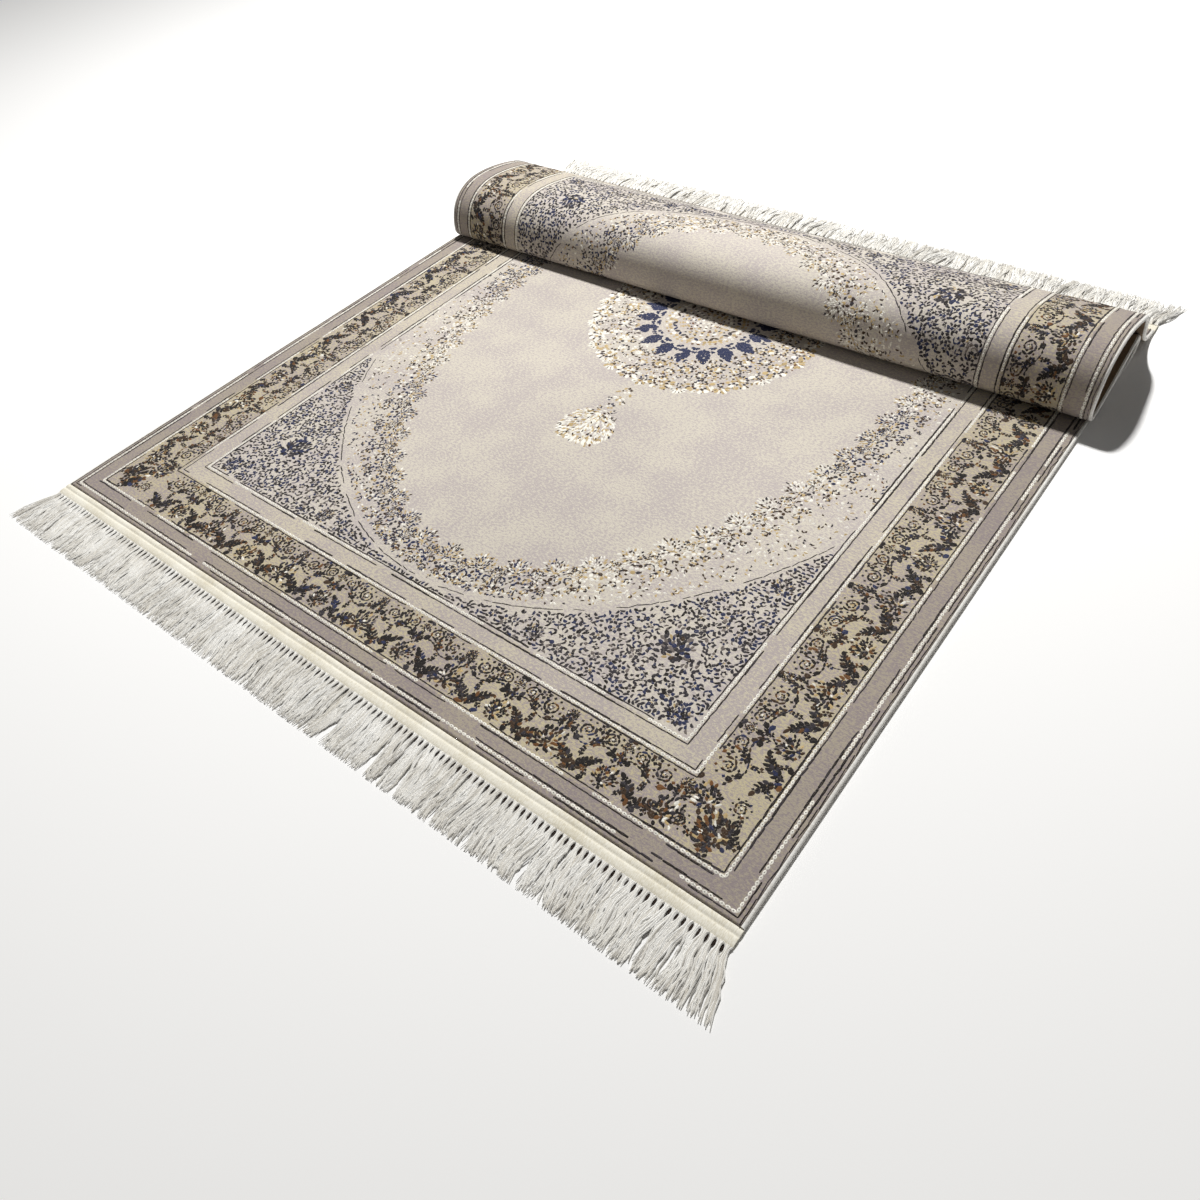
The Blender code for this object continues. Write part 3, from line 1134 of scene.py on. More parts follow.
@dataclass
class Design:
    """Where each figure lies on the flat cloth, and the pieces of dyed pile made from them."""

    fold: Fold
    figures: Figures = field(default_factory=Figures)
    middle: float = 1.122
    guards: tuple[tuple[float, float], ...] = (
        (0.019, 0.012), (0.057, 0.043), (0.174, 0.151), (0.216, 0.189),
    )
    oval: tuple[float, float] = (0.664, 0.920)
    wreath: tuple[float, float] = (0.500, 0.850)
    hidden: tuple[float, float] = (1.335, 1.735)
    proud: float = 0.00060
    sunk: float = 0.00005
    short: float = 0.0092
    short_width: float = 1.25
    short_length: float = 1.10
    stray: float = 0.0004
    swerve: float = 0.12
    uneven_length: float = 0.10
    uneven_width: float = 0.14
    guard_gap: float = 0.0047
    guard_line: float = 0.0028
    link: tuple[float, float] = (0.0098, 0.0054)
    frame_clear: float = 0.0065
    border_clear: float = 0.0035
    half_repeat: float = 0.104

    def along(self, up: Array) -> Array:
        """The place along the cloth of a height above the medallion's centre."""
        half = self.fold.length / 2
        return half + up - (half - self.middle) * (1.0 - (up / half) ** 2)

    def piece(
        self,
        name: str,
        rows: Array,
        moods: tuple[Mood, Mood],
        leaning: Array,
        seed: int,
        finish: TuftFinish,
        loose: float = 1.0,
        bold: float = 1.0,
    ) -> bpy.types.Object:
        """Raise strokes as low tufts on the folded cloth.

        A stroke is a lens with a ridge: two tips, and three stations between them that each have
        a left edge, a ridge and a right edge. Its edges sink just under the pile. A short stroke
        keeps only its middle station, and is made a little fuller and longer to make up for it.

        Args:
            name: the piece's name.
            rows: the strokes, in flat metres.
            moods: the two sets of yarns.
            leaning: for each stroke, the chance that it takes the second set.
            seed: for the draws.
            finish: what they are made of.
            loose: how uneven the hand is, 0 for none.
            bold: how much fuller than drawn the strokes are.

        Returns:
            The piece.
        """
        drawn = np.random.default_rng(seed)
        count = len(rows)
        rows = rows.copy()
        rows[:, [X, Y]] += drawn.normal(0.0, self.stray * loose, (count, 2))
        rows[:, HEADING] += drawn.normal(0.0, self.swerve * loose, count)
        rows[:, LENGTH] *= 1.0 + drawn.normal(0.0, self.uneven_length * loose, count)
        rows[:, WIDTH] *= bold * (1.0 + drawn.normal(0.0, self.uneven_width * loose, count))
        chance, pick, shade = drawn.random((3, count))
        role = rows[:, ROLE].astype(int)
        first, second = (mood.pick(role, pick) for mood in moods)
        dye = np.where((chance < leaning)[:, None], second, first)
        dye[:, :3] *= (0.86 + 0.28 * shade)[:, None]
        stay = (rows[:, Y] < self.hidden[0]) | (rows[:, Y] > self.hidden[1])
        rows, dye = rows[stay], dye[stay]
        short = rows[:, LENGTH] < self.short
        rows[short, WIDTH] *= self.short_width
        rows[short, LENGTH] *= self.short_length
        flat, lift = self._lenses(rows)
        points = self.fold.place(flat[..., 0], flat[..., 1], self.fold.thickness / 2 + lift)
        lay = np.concatenate([flat, np.ones((*flat.shape[:2], 1))], axis=-1)
        dark_dot_and_painted_shade = np.zeros(flat.shape[:2])
        dark_dot_and_painted_shade[:, 5] = 1.0
        shapes = ((~short, FULL_CORNERS, FULL_FACES), (short, SHORT_CORNERS, SHORT_FACES))
        made, faces, total = {"points": [], "lay": [], "dye": [], "dark_dot_and_painted_shade": []}, [], 0
        for chosen, corners, table in shapes:
            joined, joined_faces = stamped(points[chosen][:, corners], self._turned(table, corners))
            made["points"].append(joined)
            made["lay"].append(lay[chosen][:, corners].reshape(-1, 3))
            made["dye"].append(np.repeat(dye[chosen], len(corners), axis=0))
            made["dark_dot_and_painted_shade"].append(dark_dot_and_painted_shade[chosen][:, corners].ravel())
            faces.append(joined_faces + total)
            total += len(joined)
        whole = {key: np.concatenate(values) for key, values in made.items()}
        corners = whole.pop("points")
        return add_piece(name, corners, np.concatenate(faces), finish.material(), whole)

    def _lenses(self, rows: Array) -> tuple[Array, Array]:
        """The eleven corners of each stroke on the flat cloth, and their lifts.

        The stroke's line turns evenly from end to end: its stations are the running sum of four
        steps, moved so that the middle one lies where the row says.

        Args:
            rows: the strokes.

        Returns:
            Corners as strokes by 11 by 2, and lifts as strokes by 11.
        """
        blunt = rows[:, BLUNT]
        none, half = np.zeros_like(blunt), np.full_like(blunt, 0.5)
        stops = np.stack([none, blunt, half, 1 - blunt, none + 1], axis=1)
        between = (stops[:, 1:] + stops[:, :-1]) / 2
        steps = np.diff(stops, axis=1) * rows[:, [LENGTH]]
        slope = rows[:, [HEADING]] + rows[:, [BEND]] * (between - 0.5)
        path = np.zeros((len(rows), 5, 2))
        path[:, 1:, 0] = np.cumsum(steps * np.cos(slope), axis=1)
        path[:, 1:, 1] = np.cumsum(steps * np.sin(slope), axis=1)
        path += rows[:, None, [X, Y]] - path[:, [2]]
        facing = rows[:, [HEADING]] + rows[:, [BEND]] * (stops[:, 1:4] - 0.5)
        out = np.stack([-np.sin(facing), np.cos(facing)], axis=-1)
        lean = 0.3 * rows[:, TAPER]
        full = np.stack([0.80 + lean, np.ones(len(rows)), 0.80 - lean], axis=1)
        reach = (rows[:, [WIDTH]] / 2 * full)[..., None] * out
        inner = path[:, 1:4]
        trio = np.stack([inner + reach, inner, inner - reach], axis=2).reshape(len(rows), 9, 2)
        corners = np.concatenate([path[:, :1], trio, path[:, 4:]], axis=1)
        lift = np.full((len(rows), 11), -self.sunk)
        lift[:, [2, 5, 8]] = self.proud
        return corners, lift

    def _turned(self, faces: Array, corners: Array) -> Array:
        """One stroke's faces, each turned so that a lens of those corners faces outwards.

        A face points inwards if its normal leans towards a point inside the lens.

        Args:
            faces: rows of corner numbers.
            corners: which of the eleven corners the lens keeps.

        Returns:
            The faces, turned over where they pointed inwards.
        """
        trial = np.array(
            [(0, 0, 0), (1, 1, 0), (1, 0, 1), (1, -1, 0), (2, 1, 0), (2, 0, 1), (2, -1, 0),
             (3, 1, 0), (3, 0, 1), (3, -1, 0), (4, 0, 0)], dtype=float)[corners]
        at = trial[faces]
        normal = np.cross(at[:, 1] - at[:, 0], at[:, 2] - at[:, 0])
        inward = np.einsum("ij,ij->i", normal, at.mean(axis=1) - np.array([2.0, 0.0, 0.3])) < 0
        return np.where(inward[:, None], faces[:, ::-1], faces)

    def in_frame(self, rows: Array, inset: tuple[float, float], margin: float) -> Array:
        """Which strokes lie inside a frame.

        Args:
            rows: the strokes.
            inset: how far the frame is from the sides and from the ends.
            margin: how far inside it they must lie.

        Returns:
            True or false for each stroke.
        """
        from_side = self.fold.width / 2 - np.abs(rows[:, X]) - inset[0]
        from_end = np.minimum(rows[:, Y], self.fold.length - rows[:, Y]) - inset[1]
        return np.minimum(from_side, from_end) > margin

    def round_frame(self, inset: tuple[float, float], pitch: float) -> tuple[Array, Array, Array]:
        """Evenly spaced places round a rectangle.

        Args:
            inset: how far the rectangle is from the sides and from the ends.
            pitch: about how far apart the places are.

        Returns:
            Their x, their place along, and the direction of the run there.
        """
        half, low = self.fold.width / 2 - inset[0], inset[1]
        high = self.fold.length - low
        runs = [((-half, low), (half, low)), ((half, low), (half, high)),
                ((half, high), (-half, high)), ((-half, high), (-half, low))]
        x, along, heading = [], [], []
        for (x0, y0), (x1, y1) in runs:
            count = round(math.hypot(x1 - x0, y1 - y0) / pitch)
            share = (np.arange(count) + 0.5) / count
            x.append(x0 + (x1 - x0) * share)
            along.append(y0 + (y1 - y0) * share)
            heading.append(np.full(count, math.atan2(y1 - y0, x1 - x0)))
        return np.concatenate(x), np.concatenate(along), np.concatenate(heading)

    def guard_stripes(self) -> bpy.types.Object:
        """Four frames of ivory links between thin dark lines, faded out in short stretches.

        Returns:
            The piece.
        """
        rows = []
        for number, inset in enumerate(self.guards):
            x, along, heading = self.round_frame(inset, 0.0088)
            kept = waves(x, along, 0.16, 40 + number) < 0.83
            rows.append(strokes(x, along, heading, *self.link, Role.CHAIN)[kept])
            for side in (-1.0, 1.0):
                moved_in = (inset[0] + side * self.guard_gap, inset[1] + side * self.guard_gap)
                x, along, heading = self.round_frame(moved_in, 0.019)
                kept = waves(x, along, 0.13, 50 + 2 * number + int(side)) < 0.80
                thick = waves(x, along, 0.3, 70 + number) > 0.62
                bold = self.guard_line + self.guard_line / 2 * thick
                made = strokes(x, along, heading, 0.0205, bold, Role.LINE, blunt=0.06)
                rows.append(made[kept])
        x, along, heading = self.round_frame((0.0078, -0.01), 0.026)
        sides = np.abs(np.cos(heading)) < 0.5
        rows.append(strokes(x, along, heading, 0.028, 0.0020, Role.LINE, blunt=0.06)[sides])
        made = np.concatenate(rows)
        made = made[(made[:, Y] > 0.001) & (made[:, Y] < self.fold.length - 0.001)]
        finish = TuftFinish("guard_pile", worn=0.35, dotted=True)
        plain = np.zeros(len(made))
        return self.piece("guard_stripes", made, (SOBER, SOBER), plain, 11, finish, loose=0.35)

    def _border_unit(self) -> Array:
        """One repeat of the border and its mirror image, on a run of 2 by 0.104 from its middle.

        The figures stand on the outer guard and grow inwards along +Y.

        Returns:
            Its strokes.
        """
        fig = self.figures
        half = [
            moved(fig.snail(0.0160), 0.026, 0.089, -0.5),
            moved(fig.snail(0.0175), 0.069, 0.084, 2.4),
            moved(fig.acanthus(0.046, 46, 0.0135, 7), 0.050, 0.007, 0.16),
            moved(fig.acanthus(0.040, -50, 0.0130, 6), 0.055, 0.007, -0.38),
            moved(fig.acanthus(0.026, 80, 0.0080, 4), 0.049, 0.064, 0.1),
            moved(fig.flower(0.0095, 6, Role.ACCENT), 0.047, 0.098),
            moved(fig.flower(0.0080, 5, Role.ACCENT), 0.046, 0.070),
            moved(fig.sprig(0.020), 0.026, 0.010, -0.3),
            moved(fig.sprig(0.022), 0.084, 0.006, 0.9),
            moved(fig.sprig(0.020), 0.052, 0.036, 0.1),
            moved(fig.leaf(0.015, 0.0060), 0.022, 0.064, 1.2),
            moved(fig.leaf(0.014, 0.0060), 0.068, 0.006, 1.4),
            moved(fig.leaf(0.014, 0.0060), 0.036, 0.004, 1.1),
            moved(fig.leaf(0.014, 0.0060), 0.070, 0.058, -0.9),
            moved(fig.leaf(0.013, 0.0055), 0.090, 0.066, 0.5),
            moved(fig.leaf(0.013, 0.0055), 0.012, 0.070, -0.5),
            moved(fig.leaf(0.013, 0.0055), 0.010, 0.104, 1.4),
            moved(fig.leaf(0.013, 0.0055), 0.096, 0.104, -1.2),
            moved(fig.leaf(0.012, 0.0050), 0.058, 0.104, 0.8),
        ]
        stem = np.linspace(0.0, 1.0, 13)
        path = np.stack([0.004 + 0.096 * stem, 0.066 + 0.008 * np.sin(stem * 7.5)], axis=1)
        half.append(chain(path, 0.0024))
        middle = [
            moved(fig.cluster(0.0215, 2), 0.0, 0.030),
            mirrored(moved(fig.acanthus(0.022, 60, 0.0085, 4), 0.004, 0.055, -0.4)),
            moved(fig.cluster(0.0095, 7), 0.0, 0.092),
        ]
        tree = mirrored(moved(fig.acanthus(0.026, 50, 0.0090, 4), 0.004, 0.062, -0.5))
        ends = [
            moved(fig.cluster(0.0260, 3, 1.0), self.half_repeat, 0.034),
            moved(tree, self.half_repeat, 0.0),
            moved(fig.cluster(0.0110, 6), self.half_repeat, 0.092),
        ]
        return np.concatenate([mirrored(np.concatenate(half)), *middle, *ends])

    def border(self) -> bpy.types.Object:
        """The leafy border between the second guard and the third.

        Returns:
            The piece.
        """
        unit = self._border_unit()
        side_in, end_in = (inset + self.border_clear for inset in self.guards[1])
        half, length = self.fold.width / 2, self.fold.length
        rows = []
        # Along each side, then along each end, whole repeats between the corner squares.
        runs = ((9, 0.151, length - 0.151, False), (6, -0.626, 0.626, True))
        for count, low, high, lying in runs:
            pitch = (high - low) / count
            at = low + pitch * (np.arange(count) + 0.5)
            stretched = unit.copy()
            stretched[:, X] *= pitch / (2 * self.half_repeat)
            if lying:
                stretched[:, Y] *= 0.925
                rows.append(moved(stretched, at, end_in))
                rows.append(moved(stretched, at, length - end_in, math.pi))
            else:
                rows.append(moved(stretched, half - side_in, at, math.pi / 2))
                rows.append(moved(stretched, side_in - half, at, -math.pi / 2))
        fig = self.figures
        corner = np.concatenate([
            moved(fig.cluster(0.030, 4), 0.0, 0.066),
            moved(fig.cluster(0.024, 6), 0.0, 0.116),
            mirrored(moved(fig.acanthus(0.040, 60, 0.0175), 0.010, 0.034, -0.75)),
            mirrored(moved(fig.snail(0.0145), 0.043, 0.088)),
            mirrored(moved(fig.sprig(0.022), 0.030, 0.058, -0.3)),
            mirrored(moved(fig.flower(0.009, 5), 0.022, 0.036)),
        ])
        for right in (-1, 1):
            for far in (-1, 1):
                x = right * (half - side_in)
                y = end_in if far < 0 else length - end_in
                turn = math.atan2(-far, -right) - math.pi / 2
                rows.append(moved(corner, x, y, turn))
        made = np.concatenate(rows)
        made = made[
            self.in_frame(made, self.guards[1], self.frame_clear)
            & ~self.in_frame(made, self.guards[2], -self.frame_clear)
        ]
        to_corner = np.hypot(half - np.abs(made[:, X]), np.minimum(made[:, Y], length - made[:, Y]))
        patch = soft_step(waves(made[:, X], made[:, Y], 0.42, 7), 0.40, 0.75)
        leaning = np.clip(0.25 + 0.55 * patch + 0.4 * soft_step(-to_corner, -0.45, -0.15), 0, 1)
        kept = np.random.default_rng(2).random(len(made)) > 0.04
        return self.piece("border_leaves", made[kept], (SOBER, WARM), leaning[kept], 12,
                          TuftFinish("border_pile", worn=0.2), bold=1.7)

    def outside_oval(self, x: Array, up: Array, grow: float = 0.0) -> Array:
        """How far outside the oval a point is, as a ratio less 1."""
        return np.hypot(x / (self.oval[0] + grow), up / (self.oval[1] + grow)) - 1.0

    def corners(self) -> bpy.types.Object:
        """The four scrolling corners outside the oval, each the mirror image of the others.

        Returns:
            The piece.
        """
        fig = self.figures
        drawn = np.random.default_rng(21)
        x, up = brick_grid(60, 60, 0.0235, 0.86, 0.0018, drawn)
        # The large flower heads of a corner: x, height above the middle, and radius.
        big = np.array([
            (0.470, 0.800, 0.034),
            (0.545, 0.905, 0.024),
            (0.545, 0.600, 0.022),
            (0.260, 0.905, 0.020),
        ])
        free = np.ones(x.shape, bool)
        for bx, by, radius in big:
            free &= np.hypot(x - bx, up - by) > radius + 0.010
        high = self.fold.length / 2 - self.guards[3][1]
        wide = self.fold.width / 2 - self.guards[3][0]
        inside = (self.outside_oval(x, up, 0.016) > 0) & (x < wide - 0.014) & (up < high - 0.014)
        x, up = x[inside & free], up[inside & free]
        kind = drawn.random(len(x))
        turn = drawn.random(len(x)) * math.tau
        size = 0.88 + 0.26 * drawn.random(len(x))
        rows = []
        leafy_curl = [fig.curl(0.0080), moved(fig.leaf(0.010, 0.0035), 0.009, 0.002)]
        for low, top, made in (
            (0.00, 0.30, fig.flower(0.0100, 6)),
            (0.30, 0.52, fig.curl(0.0100)),
            (0.52, 0.70, np.concatenate(leafy_curl)),
            (0.70, 0.86, moved(fig.sprig(0.021, 2), 0.0, -0.010)),
            (0.86, 1.01, fig.flower(0.0075, 5)),
        ):
            here = (kind >= low) & (kind < top)
            rows.append(moved(made, x[here], up[here], turn[here], size[here]))
        for bx, by, radius in big:
            facing = math.atan2(-by, -bx) + math.pi / 2
            rows.append(moved(fig.cluster(radius, 9), bx, by, facing + math.pi))
        # Small commas fill what is left between the figures.
        fx, fy = brick_grid(120, 75, 0.0078, 1.0, 0.0012, drawn)
        inside = (self.outside_oval(fx, fy, 0.008) > 0) & (fx < wide - 0.007) & (fy < high - 0.007)
        fx, fy = fx[inside], fy[inside]
        nearest = np.min(np.hypot(fx[:, None] - x[None], fy[:, None] - up[None]), axis=1)
        from_big = np.hypot(fx[:, None] - big[:, 0], fy[:, None] - big[:, 1]) - big[:, 2]
        bare = (nearest > 0.0105) & (np.min(from_big, axis=1) > 0.003)
        fx, fy = fx[bare], fy[bare]
        swirl = math.tau * waves(fx, fy, 0.07, 31)
        rows.append(strokes(fx, fy, swirl, 0.0108, 0.0029, Role.DARK, 1.7, 0.4))
        quarter = np.concatenate(rows)
        four = np.concatenate([quarter, moved(quarter, 0, 0, flip=True)])
        four = np.concatenate([four, moved(four, 0, 0, math.pi)])
        four[:, Y] = self.along(four[:, Y])
        four = four[self.in_frame(four, self.guards[3], self.frame_clear)]
        kept = np.random.default_rng(4).random(len(four)) > 0.03
        leaning = soft_step(waves(four[:, X], four[:, Y], 0.30, 9), 0.35, 0.7)
        return self.piece("corner_scrolls", four[kept], (BLUE, SLATE), leaning[kept], 13,
                          TuftFinish("corner_pile", worn=0.25), bold=1.75)

    def _on_ellipse(self, size: tuple[float, float], pitch: float) -> tuple[Array, Array, Array]:
        """Evenly spaced places on an ellipse, read off its length walked in fine steps.

        Args:
            size: its half width and half height.
            pitch: about how far apart the places are.

        Returns:
            Their x, their height, and the direction towards the ellipse's inside.
        """
        fine = np.linspace(0.0, math.tau, 2001)
        x, y = size[0] * np.cos(fine), size[1] * np.sin(fine)
        walked = np.concatenate([[0.0], np.cumsum(np.hypot(np.diff(x), np.diff(y)))])
        count = 4 * round(walked[-1] / pitch / 4)
        turn = np.interp((np.arange(count) + 0.5) / count * walked[-1], walked, fine)
        inwards = np.arctan2(-np.sin(turn) / size[1], -np.cos(turn) / size[0])
        return size[0] * np.cos(turn), size[1] * np.sin(turn), inwards

    def wreath_of_bouquets(self) -> bpy.types.Object:
        """Small bouquets all round the field, pointing inwards, inside a thin oval line.

        Returns:
            The piece.
        """
        fig = self.figures
        bouquet = np.concatenate([
            moved(fig.bush(0.0190, 11), 0.0, 0.004),
            moved(fig.flower(0.0110, 6), 0.0, -0.022),
            mirrored(moved(fig.curl(0.0095), 0.0190, -0.024, 0.6)),
            mirrored(moved(fig.sprig(0.020, 3), 0.016, -0.010, -0.7)),
            mirrored(moved(fig.flower(0.0075, 5, Role.ACCENT), 0.021, -0.043)),
            moved(fig.sprig(0.017, 2), 0.0, -0.058),
        ])
        lesser = np.concatenate([
            moved(fig.bush(0.0125, 12), 0.0, -0.014),
            moved(fig.flower(0.0090, 5), 0.0, -0.035),
            mirrored(moved(fig.curl(0.0070), 0.012, -0.046, 2.0)),
        ])
        x, up, inwards = self._on_ellipse(self.wreath, 0.0335)
        turn = inwards - math.pi / 2
        odd = np.arange(len(x)) % 2 == 1
        rows = [
            moved(bouquet, x[~odd], up[~odd], turn[~odd], 1.15),
            moved(lesser, x[odd], up[odd], turn[odd], 1.1),
        ]
        # Loose specks fill the band between the bouquets and the oval line.
        drawn, specks = np.random.default_rng(33), 5200
        angle = drawn.random(specks) * math.tau
        reach = drawn.random(specks) ** 0.7
        low_a, low_b = self.wreath[0] + 0.030, self.wreath[1] + 0.022
        fx = np.cos(angle) * (low_a + (self.oval[0] - 0.012 - low_a) * reach)
        fy = np.sin(angle) * (low_b + (self.oval[1] - 0.012 - low_b) * reach)
        role_draw = drawn.random(specks)
        spin = drawn.random(specks) * math.tau
        shares = ((Role.ACCENT, 0.0, 0.10), (Role.DARK, 0.10, 0.44), (Role.LIGHT, 0.44, 0.62))
        for role, low, top in shares:
            here = (role_draw >= low) & (role_draw < top)
            rows.append(strokes(fx[here], fy[here], spin[here], 0.0088, 0.0028, role, 1.4, 0.3))
        flowers = np.concatenate(rows)
        x, up, inwards = self._on_ellipse(self.oval, 0.018)
        kept = waves(x, up, 0.12, 61) < 0.80
        line = strokes(x, up, inwards - math.pi / 2, 0.0190, 0.0019, Role.LINE, blunt=0.06)[kept]
        made = np.concatenate([flowers, line])
        turned = np.arctan2(made[:, Y], made[:, X])
        made[:, Y] = self.along(made[:, Y])
        swing = np.sin(turned * 5 + 0.9 + 1.2 * np.sin(2 * turned))
        pale = soft_step(0.5 + 0.5 * swing, 0.30, 0.62)
        pale = np.clip(pale * 0.9 + 0.1, 0, 1)
        inside = self.in_frame(made, self.guards[3], self.frame_clear)
        kept = inside & (np.random.default_rng(5).random(len(made)) > 0.05)
        return self.piece("wreath_bouquets", made[kept], (GILT_BLUE, PALE), pale[kept], 14,
                          TuftFinish("wreath_pile", (196, 187, 174), 0.3), bold=1.25)

    def _medallion_heart(self) -> list[Array]:
        """The medallion's middle: rings of short strokes, a zigzag, and two rings of rays.

        Returns:
            Its strokes, ring by ring.
        """
        rows = []
        for radius, count in ((0.010, 5), (0.021, 9), (0.032, 14), (0.043, 18), (0.054, 23)):
            role = (Role.ACCENT, Role.LIGHT)[count % 2]
            rows.append(ring(radius, count, 0.0052, role, 0.72))
            rows.append(ring(radius + 0.0055, count + 5, 0.0034, Role.DARK, 0.5))
        around = (np.arange(40) + 0.5) / 40 * math.tau
        lean = np.where(np.arange(40) % 2 == 0, 0.75, -0.75)
        x, y, heading = 0.071 * np.cos(around), 0.071 * np.sin(around), around + math.pi / 2 + lean
        rows.append(strokes(x, y, heading, 0.0150, 0.0056))
        rows.append(rays(0.0765, 0.0865, 44, 0.0082, Role.LIGHT, taper=0.0))
        rows.append(rays(0.0865, 0.0930, 44, 0.0055, Role.ACCENT, taper=0.0))
        return rows

    def _medallion_tiers(self) -> list[Array]:
        """The tiers round the heart: blue leaves with buds, then roundels, then flower heads.

        Returns:
            Their strokes, tier by tier.
        """
        fig = self.figures
        leaves = 18
        turn = np.arange(leaves) / leaves * math.tau
        leaf = fig.acanthus(0.039, 0, 0.0215, 4)
        leaf[:, ROLE] = Role.LEAF_BLUE.value
        leaf[:, WIDTH] *= 1.35

        def round_about(
            figure: Array, radius: float, shift: float = 0.0, size: float = 1.0
        ) -> Array:
            """Copies of a figure on a circle, growing outwards."""
            at = turn + shift * math.tau / leaves
            return moved(figure, radius * np.cos(at), radius * np.sin(at), at - math.pi / 2, size)

        bud = rays(0.0, 0.0110, 4, 0.0050, Role.LEAF_BLUE, 200.0)
        light = Role.LIGHT
        outer_roundel = [ring(0.0135, 10, 0.0054, fill=1.0), rays(0.0, 0.0085, 5, 0.0060, light)]
        inner_roundel = [ring(0.0115, 9, 0.0046, fill=1.0), rays(0.0, 0.0065, 4, 0.0050, light)]
        rows = [
            round_about(leaf, 0.107),
            round_about(bud, 0.103, 0.5),
            round_about(bud, 0.117, 0.5, 0.8),
            round_about(np.concatenate(outer_roundel), 0.184, 0.5),
            round_about(mirrored(moved(fig.curl(0.0100), 0.0135, 0.0)), 0.172),
            round_about(np.concatenate(inner_roundel), 0.202, 0.0),
            round_about(mirrored(moved(fig.leaf(0.014, 0.0050), 0.008, 0.0, -0.6)), 0.148, 0.5),
            round_about(mirrored(moved(fig.curl(0.0075), 0.0095, 0.0, 1.0)), 0.210, 0.5),
        ]
        head = np.concatenate([
            ring(0.0155, 12, 0.0054, Role.DARK, 1.0),
            ring(0.0098, 8, 0.0054, Role.LIGHT, 0.85),
            rays(0.0, 0.0075, 5, 0.0050, Role.ACCENT),
            rays(0.0175, 0.0320, 7, 0.0078, Role.LIGHT, 230.0),
            rays(0.0200, 0.0290, 6, 0.0036, Role.DARK, 196.0),
        ])
        small_head = np.concatenate([fig.fan(0.0210, 7), moved(fig.flower(0.0080, 5), 0.0, -0.011)])
        rows += [round_about(head, 0.236), round_about(small_head, 0.250, 0.5)]
        return rows

    def _pendant(self, spot: np.random.Generator) -> Array:
        """A pendant: a stem of small flowers, and a heart of short strokes spread from its neck.

        Args:
            spot: where the draws come from.

        Returns:
            Its strokes.
        """
        fig = self.figures
        count = 420
        wide, tall = 2.0 * spot.random(count) - 1.0, spot.random(count)
        wide = wide * 0.060 * np.sqrt(np.sin(math.pi * (0.10 + 0.80 * tall)))
        tall = 0.385 + 0.100 * tall
        lean = np.arctan2(tall - 0.375, wide) + 0.3 * spot.normal(size=count)
        bend = spot.normal(size=count) * 0.5
        head_rows = strokes(wide, tall, lean, 0.0105, 0.0036, Role.LIGHT, bend)
        which = spot.random(count)
        head_rows[which < 0.26, ROLE] = Role.ACCENT.value
        head_rows[which > 0.84, ROLE] = Role.DARK.value
        return np.concatenate([
            moved(fig.flower(0.0110, 6), 0.0, 0.296),
            mirrored(moved(fig.leaf(0.014, 0.005), 0.010, 0.302, -0.7)),
            moved(fig.fan(0.0150, 5), 0.0, 0.322),
            mirrored(moved(fig.flower(0.0070, 5), 0.016, 0.336)),
            moved(fig.flower(0.0100, 6), 0.0, 0.355),
            mirrored(moved(fig.curl(0.0080), 0.017, 0.368, 1.0)),
            head_rows,
            moved(ring(0.030, 14, 0.0040, Role.DARK, 0.8)[8:13], 0.0, 0.404),
            moved(ring(0.022, 12, 0.0040, Role.DARK, 0.8)[7:11], 0.0, 0.402),
            moved(rays(0.042, 0.062, 9, 0.0064, Role.LIGHT, 120.0), 0.0, 0.428),
            mirrored(moved(fig.curl(0.0095), 0.030, 0.388, 0.4)),
        ])

    def medallion(self) -> bpy.types.Object:
        """The round medallion, tier by tier from its heart, with a pendant at each end.

        Returns:
            The piece.
        """
        rows = [*self._medallion_heart(), *self._medallion_tiers()]
        spot = np.random.default_rng(44)
        # Specks of every yarn between the roundels.
        angle, reach = spot.random(1500) * math.tau, 0.150 + 0.112 * spot.random(1500)
        shares = ((Role.ACCENT, 0, 450), (Role.DARK, 450, 1120), (Role.LIGHT, 1120, 1500))
        for role, low, high in shares:
            a, r = angle[low:high], reach[low:high]
            rows.append(strokes(r * np.cos(a), r * np.sin(a), a * 7.0, 0.0064, 0.0032, role, 0.4))
        pendant = self._pendant(spot)
        rows += [pendant, moved(pendant, 0.0, 0.0, math.pi)]
        made = np.concatenate(rows)
        cloud = waves(made[:, X], made[:, Y], 0.12, 8) - 0.5
        pale = soft_step(-made[:, X] + 0.10 * cloud, -0.06, 0.14)
        pale = np.where(np.abs(made[:, Y]) > 0.285, 0.85, pale)
        made[:, Y] = self.along(made[:, Y])
        kept = np.random.default_rng(6).random(len(made)) > 0.05
        return self.piece("medallion", made[kept], (GILT, PALE), pale[kept], 15,
                          TuftFinish("medallion_pile", (206, 198, 190), 0.25), bold=1.35)


